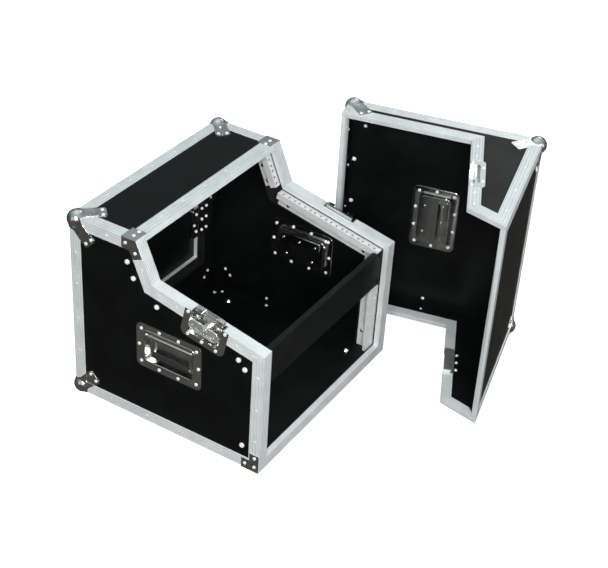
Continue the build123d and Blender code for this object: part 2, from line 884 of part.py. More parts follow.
brace_run = 40.0
top_brace_side = [
    (top_front[0] + 2, top_z + skin),
    (top_front[0] + 38, top_z + skin),
    (top_front[0] + 38, top_z - leg + 2),
    inset(base_outline, leg)[3],
    along(top_front, kink, brace_run, leg - 2),
    along(top_front, kink, brace_run, 1),
]
foot_brace_side = [
    (front_y + 1, under_z - skin),
    (front_y + 45, under_z - skin),
    (front_y + 45, under_z + 25),
    (front_y + 25, under_z + 25),
    (front_y + 25, under_z + 45),
    (front_y + 1, under_z + 45),
]
braces = []
for side in (-1, 1):
    outside = half_width if side > 0 else -half_width - skin
    with BuildPart() as top_brace:
        with BuildSketch(Plane.YZ.offset(outside)):
            with BuildLine():
                Polyline(*top_brace_side, close=True)
            make_face()
        extrude(amount=skin)
        with BuildSketch(Plane.XY.offset(top_z)):
            with Locations((side * (half_width - 18), top_front[0] + 20)):
                Rectangle(40, 36)
        extrude(amount=skin)
    with BuildPart() as foot_brace:
        with BuildSketch(Plane.YZ.offset(outside)):
            with BuildLine():
                Polyline(*foot_brace_side, close=True)
            make_face()
        extrude(amount=skin)
        with BuildSketch(Plane.XY.offset(under_z)):
            with Locations((side * (half_width - 18), front_y + 13)):
                Rectangle(40, 24)
        extrude(amount=-skin)
    braces += [top_brace.part.solid(), foot_brace.part.solid()]
save(Compound(braces), "base_corner_braces")

# Feet
with BuildPart() as foot:
    with BuildSketch():
        Circle(19)
    extrude(amount=-foot_height, taper=6.8)
    with BuildSketch():
        Circle(bolt_radius + 0.2)
    extrude(amount=-foot_height, mode=Mode.SUBTRACT)
    with BuildSketch(Plane.XY.offset(-foot_height)):
        Circle(7.5)
    extrude(amount=8, mode=Mode.SUBTRACT)
foot_spots = [Location((x, y, 0)) for x, y in foot_places]
save(Compound([foot.part.solid().moved(spot) for spot in foot_spots]), "rubber_feet")

with BuildPart() as foot_bolt:
    with BuildSketch(Plane.XY.offset(8 - foot_height)):
        Circle(6)
    extrude(amount=-4)
    with BuildSketch(Plane.XY.offset(8 - foot_height)):
        Circle(bolt_radius)
    extrude(amount=foot_height - 8 + ply + 6)
    with BuildSketch(Plane.XY.offset(ply)):
        Circle(8)
    extrude(amount=1.2)
    with BuildSketch(Plane.XY.offset(ply + 1.2)):
        RegularPolygon(5, 6)
    extrude(amount=4)
save(Compound([foot_bolt.part.solid().moved(spot) for spot in foot_spots]), "foot_bolts")

# Rear door with its frame and piano hinge
leaf_gap = 1.0
frame_gauge = 1.2
door_border = 20.0
frame_inner = door_half_width - frame_gauge
leaf_half = frame_inner - leaf_gap
leaf_height = door_high - door_low - 2 * (frame_gauge + leaf_gap)
opening_height = door_high - door_low
rear_plane = Plane.XZ.offset(-sheet_back)


def rear_ring(outer_x, outer_z, inner_x_size, inner_z, offset, depth):
    """A rectangular ring on the back of the case, from an offset plane inwards by depth."""
    with BuildPart() as body:
        with BuildSketch(Plane.XZ.offset(-offset)):
            with Locations((0, door_mid)):
                Rectangle(2 * outer_x, outer_z)
                Rectangle(2 * inner_x_size, inner_z, mode=Mode.SUBTRACT)
        extrude(amount=depth)
    return body.part


rear_dish_cut = dish_cut.moved(latch_rear.location)
rear_latch_cut = latch_cut.moved(latch_rear.location)
rear_keeper_cut = keeper_cut.moved(latch_rear.location)
rear_keeper_dish_cut = keeper_dish_cut.moved(latch_rear.location)
flange_ring = rear_ring(
    door_half_width + door_border,
    opening_height + 2 * door_border,
    frame_inner,
    opening_height - 2 * frame_gauge,
    back_y,
    skin,
)
reveal_ring = rear_ring(
    door_half_width,
    opening_height,
    frame_inner,
    opening_height - 2 * frame_gauge,
    back_y,
    ply + skin,
)
liner_half = door_half_width - rebate - frame_gauge
liner_ring = rear_ring(
    door_half_width - rebate,
    opening_height - 2 * rebate,
    liner_half,
    opening_height - 2 * (rebate + frame_gauge),
    sheet_back - ply,
    ply,
)
with BuildPart() as door_frame:
    add(flange_ring)
    add(reveal_ring)
    add(rear_dish_cut, mode=Mode.SUBTRACT)
    add(rear_latch_cut, mode=Mode.SUBTRACT)
with BuildPart() as door_liner:
    add(liner_ring)
    add(rear_latch_cut, mode=Mode.SUBTRACT)
save(Compound(door_frame.part.solids() + door_liner.part.solids()), "door_opening_frame")

with BuildPart() as door_panel:
    with BuildSketch(rear_plane):
        with Locations((0, door_mid)):
            Rectangle(2 * (leaf_half - frame_gauge), leaf_height - 2 * frame_gauge)
    extrude(amount=ply - 0.5)
    add(rear_keeper_cut, mode=Mode.SUBTRACT)
save(door_panel.part, "rear_door_panel")

edge_flange = rear_ring(
    leaf_half, leaf_height, leaf_half - door_border, leaf_height - 2 * door_border, back_y, skin
)
edge_wall = rear_ring(
    leaf_half,
    leaf_height,
    leaf_half - frame_gauge,
    leaf_height - 2 * frame_gauge,
    back_y,
    ply + skin - 0.5,
)
with BuildPart() as door_edge:
    add(edge_flange)
    add(edge_wall)
    add(rear_keeper_dish_cut, mode=Mode.SUBTRACT)
    add(rear_keeper_cut, mode=Mode.SUBTRACT)
save(door_edge.part, "rear_door_edge_frame")

pin_x = -door_half_width - 1
pin_y = back_y + 3.2
knuckle_radius = 3.0
knuckles = 5
hinge_low = door_low + 8
knuckle_length = (door_high - door_low - 16) / knuckles
hinge_gauge = 1.2
pin_plane = Plane(origin=(pin_x, pin_y, hinge_low), z_dir=(0, 0, 1))
hinge_leaves = {}
for name, side, first in (("fixed", -1, 0), ("door", 1, 1)):
    with BuildPart() as leaf:
        with Locations((pin_x + side * 12.7, back_y + 0.8, hinge_low + knuckles * knuckle_length / 2)):
            Box(18, hinge_gauge, knuckles * knuckle_length)
        for step in range(first, knuckles, 2):
            with BuildSketch(pin_plane.offset(step * knuckle_length + 0.25)):
                Circle(knuckle_radius)
            extrude(amount=knuckle_length - 0.5)
            with Locations(
                (pin_x + side * 2.2, back_y + 0.8, hinge_low + (step + 0.5) * knuckle_length)
            ):
                Box(4.4, hinge_gauge, knuckle_length - 0.5)
        with BuildSketch(pin_plane):
            Circle(1.58 if side > 0 else 1.5)
        extrude(amount=knuckles * knuckle_length, mode=Mode.SUBTRACT if side > 0 else Mode.ADD)
    hinge_leaves[name] = leaf.part
save(hinge_leaves["fixed"], "hinge_leaf_fixed")
save(hinge_leaves["door"], "hinge_leaf_door")

# Latches
keeper_trim = box((-far, far), (-1, 2.4), (-far, far))
with BuildPart() as rear_keeper:
    add(keeper_master.part)
    add(keeper_trim, mode=Mode.SUBTRACT)
latch_dishes = [latch_dish_master.part.moved(plane.location) for plane in latch_planes]
latch_plates = [latch_plate_master.part.moved(plane.location) for plane in latch_planes]
save(Compound([dish.solid() for dish in latch_dishes]), "latch_dishes")
save(Compound([plate.solid() for plate in latch_plates]), "latch_plates")
for name, plane in (("left", latch_left), ("right", latch_right), ("rear", latch_rear)):
    save(key_master.part, "latch_key_" + name, plane.location)
    save(tongue_master.part, "latch_tongue_" + name, plane.location)
save(rear_keeper.part, "door_keeper", latch_rear.location)
lid_keepers = [keeper_master.part.solid().moved(plane.location) for plane in (latch_left, latch_right)]
save(Compound(lid_keepers), "lid_keepers", lid_rest)

# Handles
side_handles = (("left", handle_left), ("right", handle_right))
save(Compound([dish_master.part.solid().moved(p.location) for _, p in side_handles]), "handle_dishes")
save(Compound([rod_master.part.solid().moved(p.location) for _, p in side_handles]), "handle_rods")
springs = [s.moved(p.location) for _, p in side_handles for s in spring_pair.solids()]
save(Compound(springs), "handle_springs")
for name, plane in side_handles:
    save(bail_master.part, "handle_bail_" + name, plane.location)
    save(grip_master.part, "handle_grip_" + name, plane.location)
save(dish_master.part, "lid_handle_dish", handle_lid.location, lid_rest)
save(rod_master.part, "lid_handle_rod", handle_lid.location, lid_rest)
save(spring_pair, "lid_handle_springs", handle_lid.location, lid_rest)
save(bail_master.part, "lid_handle_bail", handle_lid.location, lid_rest)
save(grip_master.part, "lid_handle_grip", handle_lid.location, lid_rest)

# Lid panels
lid_panel_outline = inset(lid_outline, skin)


def lid_side(x_low, latch):
    """A lid side panel with its keeper cut-out."""
    with BuildPart() as panel:
        with BuildSketch(Plane.YZ.offset(x_low)):
            with BuildLine():
                Polyline(*lid_panel_outline, close=True)
            make_face()
        extrude(amount=ply)
        add(keeper_cut.moved(latch.location), mode=Mode.SUBTRACT)
    return panel.part


save(lid_side(-wall_x, latch_left), "lid_side_left", lid_rest)
save(lid_side(inner_x, latch_right), "lid_side_right", lid_rest)
lid_wall_y = lid_front_y + skin
lid_front = box((-inner_x, inner_x), (lid_wall_y, lid_wall_y + ply), (0, top_z - skin))
with BuildPart() as lid_front_panel:
    add(lid_front)
    add(handle_cut.moved(handle_lid.location), mode=Mode.SUBTRACT)
save(lid_front_panel.part, "lid_front_panel", lid_rest)
mating_top = inset(lid_outline, skin)[0]
lid_top_profile = [
    (lid_wall_y + ply, top_z - skin),
    (lid_wall_y + ply, ceiling),
    along(mating_top, inset(lid_outline, skin)[5], ply * steep / kink_drop, 0),
    mating_top,
]
save(prism(Plane.YZ.offset(-inner_x), lid_top_profile, 2 * inner_x), "lid_top_panel", lid_rest)
save(
    box((-inner_x, inner_x), (lid_wall_y + ply, front_y - skin), (0, ply)),
    "lid_bottom_panel",
    lid_rest,
)

# Lid profiles
lid_trim = top_front[0] - inset(lid_outline, leg)[0][0]
lid_edges = [
    edge((-half_width, lid_front_y, under_z), (half_width, lid_front_y, under_z), (0, 1, 0), (0, 0, 1)),
    edge((-half_width, lid_front_y, top_z), (half_width, lid_front_y, top_z), (0, 1, 0), (0, 0, -1)),
]
for sx in (-1, 1):
    edge_x = sx * half_width
    low_front = (edge_x, lid_front_y, under_z)
    lid_edges.append(edge(low_front, (edge_x, lid_front_y, top_z), (-sx, 0, 0), (0, 1, 0)))
    lid_edges.append(edge(low_front, (edge_x, front_y, under_z), (-sx, 0, 0), (0, 0, 1)))
    lid_edges.append(
        edge(
            (sx * half_width, lid_front_y, top_z),
            (sx * half_width, top_front[0], top_z),
            (-sx, 0, 0),
            (0, 0, -1),
            (leg, leg),
            (leg, lid_trim),
        )
    )
lid_mating_corners = [corner_frame((sx * half_width, front_y, under_z), (-sx, -1, 1)) for sx in (-1, 1)]
lid_top_corners = [corner_frame((sx * half_width, top_front[0], top_z), (-sx, -1, -1)) for sx in (-1, 1)]
save(
    edge_group(lid_edges, lid_corners + lid_mating_corners + lid_top_corners),
    "lid_edge_profiles",
    lid_rest,
)

lid_return = 24.0
channel_x = inner_x - skin
lid_clear = box((-wall_x, wall_x), (lid_front_y, back_y), (-far, 0))
lid_top_clear = box((-wall_x, wall_x), (lid_front_y, back_y), (top_z - skin, far * 6))
inner_clear = box((-inner_x, inner_x), (lid_front_y, back_y), (-far, ply + skin))
inner_top_clear = box((-inner_x, inner_x), (lid_front_y, back_y), (ceiling - skin, far * 6))


def lid_channel(side):
    """Channel over the lid's side edge: outer leg, mating web and inner leg."""
    latch = latch_left if side < 0 else latch_right
    outer_leg = prism(
        Plane.YZ.offset(-half_width if side < 0 else wall_x),
        band(lid_outline, mating_corners, 0, leg),
        skin,
    )
    web = prism(
        Plane.YZ.offset(-half_width if side < 0 else channel_x),
        band(lid_outline, mating_corners, 0, skin),
        half_width - channel_x,
    )
    inner_leg = prism(
        Plane.YZ.offset(-inner_x if side < 0 else channel_x),
        band(lid_outline, mating_corners, 0, lid_return),
        skin,
    )
    with BuildPart() as channel:
        add(outer_leg)
        add(web)
        add(inner_leg)
        add(lid_clear, mode=Mode.SUBTRACT)
        add(lid_top_clear, mode=Mode.SUBTRACT)
        add(inner_clear, mode=Mode.SUBTRACT)
        add(inner_top_clear, mode=Mode.SUBTRACT)
        add(keeper_dish_cut.moved(latch.location), mode=Mode.SUBTRACT)
        add(keeper_cut.moved(latch.location), mode=Mode.SUBTRACT)
    return channel.part


with BuildPart() as lid_sill:
    with BuildSketch(Plane.YZ.offset(-inner_x)):
        with BuildLine():
            Polyline(
                (front_y, 0),
                (front_y, ply + skin),
                (front_y - lid_return, ply + skin),
                (front_y - lid_return, ply),
                (front_y - skin, ply),
                (front_y - skin, 0),
                close=True,
            )
        make_face()
    extrude(amount=2 * inner_x)
    with BuildSketch(Plane.XY.offset(under_z)):
        with BuildLine():
            Polyline(
                (-wall_x, front_y),
                (wall_x, front_y),
                (wall_x, front_y - skin),
                (frame_x, front_y - leg),
                (-frame_x, front_y - leg),
                (-wall_x, front_y - skin),
                close=True,
            )
        make_face()
    extrude(amount=skin)

head_inner = along(top_front, kink, (2 * skin + ply) * steep / kink_drop, 0)
head_slope = kink_run / kink_drop
with BuildPart() as lid_head:
    with BuildSketch(Plane.YZ.offset(-inner_x)):
        with BuildLine():
            Polyline(
                (top_front[0] - skin * head_slope, top_z - skin),
                head_inner,
                (head_inner[0] - lid_return, head_inner[1]),
                (head_inner[0] - lid_return, ceiling),
                (lid_top_profile[2][0], ceiling),
                (lid_top_profile[3][0], top_z - skin),
                close=True,
            )
        make_face()
    extrude(amount=2 * inner_x)
    with BuildSketch(Plane.XY.offset(top_z - skin)):
        with BuildLine():
            Polyline(
                (-wall_x, top_front[0] - skin * head_slope - 0.01),
                (wall_x, top_front[0] - skin * head_slope - 0.01),
                (wall_x, top_front[0] - skin),
                (frame_x, top_front[0] - leg),
                (-frame_x, top_front[0] - leg),
                (-wall_x, top_front[0] - skin),
                close=True,
            )
        make_face()
    extrude(amount=skin)
lid_frame = lid_channel(-1).solids() + lid_channel(1).solids()
lid_frame += lid_sill.part.solids() + lid_head.part.solids()
save(Compound(lid_frame), "lid_mating_frame", lid_rest)
lid_balls = []
for plane in lid_corners:
    master = low_ball_master if plane.origin.Z < 0 else ball_master
    lid_balls.append(master.part.solid().moved(plane.location))
save(Compound(lid_balls), "lid_ball_corners", lid_rest)

# Rivet heads
with BuildPart() as rivet:
    with BuildSketch():
        Circle(4)
    extrude(amount=1.6)
    fillet(rivet.edges().group_by(Axis.Z)[-1], 1.4)
with BuildPart() as small_rivet:
    with BuildSketch():
        Circle(2.8)
    extrude(amount=1.1)
    fillet(small_rivet.edges().group_by(Axis.Z)[-1], 0.9)

handle_rivets = [(sx * 72, sy * 43) for sx in (-1, 1) for sy in (-1, 1)]
handle_rivets += [(sx * 25, sy * 49) for sx in (-1, 1) for sy in (-1, 1)]
handle_rivets += [(-77.5, 0), (77.5, 0)]
latch_rivets = [(-47, -6), (47, -6), (-36, -61), (36, -61), (0, -61)]
keeper_rivets = [(-47, 6), (47, 6), (-28, 30), (28, 30)]
ball_rivets = [(43, 57), (57, 43), (13, 13)]


def heads(part, plane, points, height):
    """Rivet heads at points of a plane, standing on a height above it."""
    solid = part.part.solid()
    return [solid.moved(plane.location * Location((x, y, height))) for x, y in points]


def ball_heads(plane, height=0):
    """The two rivets on each of a ball corner's three arms."""
    placed = []
    for face in face_planes:
        out = Plane(origin=face.origin, x_dir=face.x_dir, z_dir=-face.z_dir)
        flipped = [(x, -y) for x, y in ball_rivets[:2]]
        placed += [
            rivet.part.solid().moved(plane.location * out.location * Location((x, y, height)))
            for x, y in flipped
        ]
    return placed


def side_face(side, y, z, depth=half_width):
    """A plane on a side face of the case at a point."""
    return Plane(origin=(side * depth, y, z), x_dir=(0, side, 0), z_dir=(side, 0, 0))


base_rivets = []
for plane in latch_planes:
    base_rivets += heads(rivet, plane, latch_rivets, dish_gauge)
for plane in (handle_left, handle_right):
    base_rivets += heads(rivet, plane, handle_rivets, dish_gauge)
for plane in base_corners:
    base_rivets += ball_heads(plane)
for side in (-1, 1):
    spots = [(front_y + 12, under_z + 12), (front_y + 36, under_z + 12), (front_y + 12, under_z + 36)]
    spots += [(top_front[0] + 28, top_z - 12), along(top_front, kink, 26, 14)]
    for y, z in spots:
        base_rivets += heads(rivet, side_face(side, y, z, half_width + skin), [(0, 0)], 0)
    top_plane = Plane(origin=(side * (half_width - 24), top_front[0] + 18, top_z + skin))
    base_rivets += heads(rivet, top_plane, [(-9, 0), (9, 0)], 0)
    small = [along((front_y, under_z), nose, s, -leg / 2) for s in (80, 165, 250)]
    small += [along(nose, kink, s, -leg / 2) for s in (24, 68, 222, 268)]
    small += [along(kink, top_front, 36, -leg / 2)]
    small += [(y, under_z + leg / 2) for y in (-150, -50, 50, 150)]
    small += [(150, top_z - leg / 2)]
    small += [(back_y - leg / 2, z) for z in (110, 200, 290, 370)]
    for y, z in small:
        base_rivets += heads(small_rivet, side_face(side, y, z), [(0, 0)], 0)
back_face = Plane(origin=(0, back_y, 0), x_dir=(-1, 0, 0), z_dir=(0, 1, 0))
back_spots = [(x, z) for x in (-150, -50, 50, 150) for z in (under_z + leg / 2, top_z - leg / 2)]
back_spots += [(sx * (half_width - leg / 2), z) for sx in (-1, 1) for z in (110, 200, 290, 370)]
base_rivets += heads(small_rivet, back_face, back_spots, 0)
top_face = Plane(origin=(0, 0, top_z))
top_spots = [(x, y) for x in (-160, -80, 0, 80, 160) for y in (top_front[0] + 22, back_y - leg / 2)]
base_rivets += heads(small_rivet, top_face, top_spots, 0)
save(Compound(base_rivets), "base_rivets")

door_rivets = heads(rivet, latch_rear, [(-47, 8), (47, 8), (-28, 30), (28, 30)], dish_gauge)
save(Compound(door_rivets), "door_rivets")

lid_rivets = heads(rivet, latch_left, keeper_rivets, dish_gauge)
lid_rivets += heads(rivet, latch_right, keeper_rivets, dish_gauge)
lid_rivets += heads(rivet, handle_lid, handle_rivets, dish_gauge)
for plane in lid_corners:
    lid_rivets += ball_heads(plane, skin if plane.origin.Z < 0 else 0)
for side in (-1, 1):
    small = [(y, top_z - leg / 2) for y in (-180, -80, 10)]
    small += [(lid_front_y + leg / 2, z) for z in (110, 200, 290, 370)]
    small += [along(nose, kink, s, leg / 2) for s in (24, 68, 222, 268)]
    small += [along((front_y, under_z), nose, s, leg / 2) for s in (80, 165, 250)]
    for y, z in small:
        lid_rivets += heads(small_rivet, side_face(side, y, z), [(0, 0)], 0)
front_face = Plane(origin=(0, lid_front_y, 0), x_dir=(1, 0, 0), z_dir=(0, -1, 0))
front_spots = [(x, z) for x in (-150, -50, 50, 150) for z in (under_z + leg / 2, top_z - leg / 2)]
front_spots += [(sx * (half_width - leg / 2), z) for sx in (-1, 1) for z in (110, 200, 290, 370)]
lid_rivets += heads(small_rivet, front_face, front_spots, 0)
save(Compound(lid_rivets), "lid_rivets", lid_rest)
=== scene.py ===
import bmesh
import bpy
import json
from math import asin, cos, hypot, pi, radians, sin
from mathutils import Matrix, Vector


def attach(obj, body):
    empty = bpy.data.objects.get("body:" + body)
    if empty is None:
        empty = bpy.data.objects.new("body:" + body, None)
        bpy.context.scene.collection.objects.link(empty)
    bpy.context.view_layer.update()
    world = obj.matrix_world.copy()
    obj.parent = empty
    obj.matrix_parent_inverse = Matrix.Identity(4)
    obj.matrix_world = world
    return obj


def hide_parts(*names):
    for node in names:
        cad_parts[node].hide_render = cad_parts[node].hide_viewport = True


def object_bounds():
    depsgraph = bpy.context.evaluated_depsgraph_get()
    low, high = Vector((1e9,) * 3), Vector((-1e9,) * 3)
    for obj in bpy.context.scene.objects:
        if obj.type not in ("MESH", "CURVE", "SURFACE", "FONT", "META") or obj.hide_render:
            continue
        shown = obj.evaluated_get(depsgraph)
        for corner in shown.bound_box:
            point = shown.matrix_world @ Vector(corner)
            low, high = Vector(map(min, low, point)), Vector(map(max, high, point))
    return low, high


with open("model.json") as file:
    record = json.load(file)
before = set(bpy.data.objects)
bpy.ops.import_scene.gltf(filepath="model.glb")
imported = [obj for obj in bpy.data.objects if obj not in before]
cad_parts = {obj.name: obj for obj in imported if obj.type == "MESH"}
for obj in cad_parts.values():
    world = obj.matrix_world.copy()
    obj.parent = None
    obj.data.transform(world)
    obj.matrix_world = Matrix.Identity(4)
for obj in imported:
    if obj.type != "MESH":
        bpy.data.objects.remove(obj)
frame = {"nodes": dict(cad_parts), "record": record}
cad_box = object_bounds()
nodes = frame["nodes"]
scene = bpy.context.scene
mm = 0.001

# Driving dimensions, the same as the model's
case_width = 540 * mm
base_depth = 498 * mm
base_height = 462 * mm
top_depth = 177 * mm  # level top, front to back
kink_run = 40 * mm  # plan length of the steep upper slope
kink_drop = 93 * mm  # height of the steep upper slope
front_height = 310 * mm
lid_depth = 70 * mm  # how far the lid reaches in front of the base
skin = 1.5 * mm  # edge profile thickness
ply = 9 * mm  # panel thickness
leg = 28 * mm  # width of an edge profile's legs
top_leg = 32 * mm  # leg of the top cross profile on the top panel
latch_run = 145.5 * mm  # from the nose to the latch centre, along the long slope
latch_half = 56 * mm  # half the length of a latch dish, with some clearance
ball_radius = 21 * mm
ball_inset = 11 * mm
hair = 0.02 * mm  # keeps a piece clear of the panel it sits on

# The side outline, at x = 0
half_width = case_width / 2
wall_x = half_width - skin  # outer face of a side panel
front_y = -base_depth / 2
back_y = base_depth / 2
lid_front_y = front_y - lid_depth
under_z = -skin
top_z = base_height - skin
top_front = Vector((0, back_y - top_depth, top_z))
kink = Vector((0, top_front.y - kink_run, top_z - kink_drop))
nose = Vector((0, front_y, front_height - skin))
foot = Vector((0, front_y, under_z))
base_outline = [foot, Vector((0, back_y, under_z)), Vector((0, back_y, top_z)), top_front, kink, nose]
lid_outline = [
    top_front, Vector((0, lid_front_y, top_z)), Vector((0, lid_front_y, under_z)), foot, nose, kink
]
mating_corners = (3, 4, 5, 0)  # places in both outlines where the base and the lid meet
latch_edge = (4, 5)
floor_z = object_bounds()[0].z

# The lid stands beside the base, turned and leaning on its ball corners
lid_turn = radians(12.7)
lid_lean = asin((ball_radius - ball_inset) / (top_front.y - lid_front_y - ball_inset))
lid_up = Vector((-cos(lid_turn) * sin(lid_lean), -sin(lid_turn) * sin(lid_lean), cos(lid_lean)))
lid_side = Vector((sin(lid_turn), -cos(lid_turn), 0))
lid_touch = Vector((179.6 * mm, -544.4 * mm, -25 * mm))  # its lowest mating corner, on the floor
lid_axes = Matrix((lid_up, lid_side.cross(lid_up), lid_side)).transposed().to_4x4()
lid_rest = Matrix.Translation(lid_touch) @ lid_axes
lid_rest = lid_rest @ Matrix.Translation(Vector((half_width, -top_front.y, -top_front.z)))


# Camera and light
def camera():
    """The viewpoint, with its small roll."""
    azimuth, elevation, roll = -1.04946, 0.60024, 0.06882
    place = Vector((-2.14934, -1.40752, 2.00510))
    back = Vector((sin(azimuth) * cos(elevation), -cos(azimuth) * cos(elevation), sin(elevation)))
    level = Vector((cos(azimuth), sin(azimuth), 0))
    upward = back.cross(level)
    right = level * cos(roll) + upward * sin(roll)
    above = upward * cos(roll) - level * sin(roll)
    data = bpy.data.cameras.new("view")
    data.lens = 82.09
    data.clip_end = 50
    eye = bpy.data.objects.new("view", data)
    scene.collection.objects.link(eye)
    eye.matrix_world = Matrix.Translation(place) @ Matrix((right, above, back)).transposed().to_4x4()
    scene.camera = eye


def area_light(name, place, target, size, power):
    """A soft square light aimed at a point."""
    data = bpy.data.lights.new(name, "AREA")
    data.size = size
    data.energy = power
    lamp = bpy.data.objects.new(name, data)
    scene.collection.objects.link(lamp)
    lamp.location = place
    lamp.rotation_mode = "QUATERNION"
    lamp.rotation_quaternion = (target - lamp.location).to_track_quat("-Z", "Y")


def surroundings():
    """A room that is pale and cool overhead, and dark and slightly warm towards the horizon."""
    horizon = (0.08, 0.077, 0.068, 1)
    between = (0.16, 0.16, 0.152, 1)
    overhead = (0.39, 0.47, 0.475, 1)
    world = bpy.data.worlds.new("studio")
    world.use_nodes = True
    tree = world.node_tree
    coords = tree.nodes.new("ShaderNodeTexCoord")
    split = tree.nodes.new("ShaderNodeSeparateXYZ")
    blend = tree.nodes.new("ShaderNodeValToRGB")
    tree.links.new(coords.outputs["Generated"], split.inputs["Vector"])
    tree.links.new(split.outputs["Z"], blend.inputs["Fac"])
    tree.links.new(blend.outputs["Color"], tree.nodes["Background"].inputs["Color"])
    stops = blend.color_ramp.elements
    stops[0].position = 0.0
    stops[0].color = horizon
    stops[1].position = 0.75
    stops[1].color = overhead
    stops.new(0.3).color = between
    scene.world = world


def floor_material():
    """White paper lit from below, like a light table."""
    made, _, shader = blank_material("pale_floor")
    shader.inputs["Base Color"].default_value = (0.95, 0.95, 0.95, 1)
    shader.inputs["Roughness"].default_value = 0.9
    shader.inputs["Specular IOR Level"].default_value = 0.05
    shader.inputs["Emission Color"].default_value = (1, 1, 1, 1)
    shader.inputs["Emission Strength"].default_value = 0.85
    return made


def studio():
    """Soft surroundings, large lights and a white floor that casts no light on the case."""
    surroundings()
    middle = Vector((0.1, -0.1, 0.2))
    lid_middle = Vector((0.4, -0.6, 0.5))
    area_light("key", Vector((-2.5, -1.9, 2.1)), middle, size=1.9, power=138)
    area_light("top", Vector((0.3, 0.5, 3.2)), middle, size=2.6, power=8)
    area_light("side", Vector((-2.9, 0.8, 1.0)), middle, size=1.4, power=4)
    area_light("front", Vector((0.6, -3.4, 1.2)), middle, size=1.6, power=12)
    area_light("far", Vector((3.2, 0.3, 2.6)), lid_middle, size=1.3, power=8)
    mesh = bpy.data.meshes.new("floor")
    reach = 9.0
    corners = [(-reach, -reach, 0), (reach, -reach, 0), (reach, reach, 0), (-reach, reach, 0)]
    mesh.from_pydata(corners, [], [(0, 1, 2, 3)])
    ground = bpy.data.objects.new("floor", mesh)
    ground.location.z = floor_z - 0.2 * mm
    ground.visible_glossy = False
    ground.visible_diffuse = False
    scene.collection.objects.link(ground)
    mesh.materials.append(floor_material())
    scene.view_settings.view_transform = "Standard"


# Materials
def blank_material(name):
    """A node material holding only its shader."""
    made = bpy.data.materials.new(name)
    made.use_nodes = True
    tree = made.node_tree
    return made, tree, tree.nodes["Principled BSDF"]


def place_node(tree, scale):
    """Object coordinates, stretched by a scale on each axis."""
    coords = tree.nodes.new("ShaderNodeTexCoord")
    mapping = tree.nodes.new("ShaderNodeMapping")
    mapping.inputs["Scale"].default_value = scale
    tree.links.new(coords.outputs["Object"], mapping.inputs["Vector"])
    return mapping.outputs["Vector"]


def noise_node(tree, vector, scale, detail, rough):
    """Fractal noise read at a place."""
    made = tree.nodes.new("ShaderNodeTexNoise")
    made.inputs["Scale"].default_value = scale
    made.inputs["Detail"].default_value = detail
    made.inputs["Roughness"].default_value = rough
    tree.links.new(vector, made.inputs["Vector"])
    return made.outputs["Fac"]


def ramp_node(tree, factor, low, high):
    """A blend between two colours over the middle of a factor's range."""
    made = tree.nodes.new("ShaderNodeValToRGB")
    made.color_ramp.elements[0].position = 0.35
    made.color_ramp.elements[1].position = 0.65
    made.color_ramp.elements[0].color = (*low, 1)
    made.color_ramp.elements[1].color = (*high, 1)
    tree.links.new(factor, made.inputs["Fac"])
    return made.outputs["Color"]


def range_node(tree, factor, low, high, start, end):
    """A factor mapped to a range of values."""
    made = tree.nodes.new("ShaderNodeMapRange")
    made.inputs["From Min"].default_value = start
    made.inputs["From Max"].default_value = end
    made.inputs["To Min"].default_value = low
    made.inputs["To Max"].default_value = high
    tree.links.new(factor, made.inputs["Value"])
    return made.outputs["Result"]


def bump_node(tree, height, distance, strength=1.0, under=None):
    """Surface relief, on top of an earlier one where given."""
    made = tree.nodes.new("ShaderNodeBump")
    made.inputs["Distance"].default_value = distance
    made.inputs["Strength"].default_value = strength
    tree.links.new(height, made.inputs["Height"])
    if under:
        tree.links.new(under, made.inputs["Normal"])
    return made.outputs["Normal"]


def cell_node(tree, vector, scale):
    """Distance to the nearest point of a fine cell pattern."""
    made = tree.nodes.new("ShaderNodeTexVoronoi")
    made.inputs["Scale"].default_value = scale
    tree.links.new(vector, made.inputs["Vector"])
    return made.outputs["Distance"]


def surface(name, dark, light, rough, metallic, grain, depth, mottle, cells=0, stretch=(1, 1, 1), gloss=0.5):
    """A surface with mottled colour, uneven gloss and fine relief, and a cell texture where asked.

    rough holds the smoothest and the roughest value, mottle, grain and cells are texture scales,
    and depth is the height of the relief.
    """
    made, tree, shader = blank_material(name)
    place = place_node(tree, stretch)
    broad = noise_node(tree, place, mottle, detail=5.0, rough=0.6)
    fine = noise_node(tree, place, grain, detail=4.0, rough=0.65)
    tree.links.new(ramp_node(tree, broad, dark, light), shader.inputs["Base Color"])
    mixed = tree.nodes.new("ShaderNodeMath")
    mixed.operation = "ADD"
    tree.links.new(broad, mixed.inputs[0])
    tree.links.new(fine, mixed.inputs[1])
    uneven = range_node(tree, mixed.outputs[0], *rough, start=0.7, end=1.3)
    tree.links.new(uneven, shader.inputs["Roughness"])
    relief = bump_node(tree, fine, depth)
    if cells:
        cell = cell_node(tree, place, cells)
        relief = bump_node(tree, cell, depth * 2, strength=0.6, under=relief)
    tree.links.new(relief, shader.inputs["Normal"])
    shader.inputs["Metallic"].default_value = metallic
    shader.inputs["Specular IOR Level"].default_value = gloss
    return made


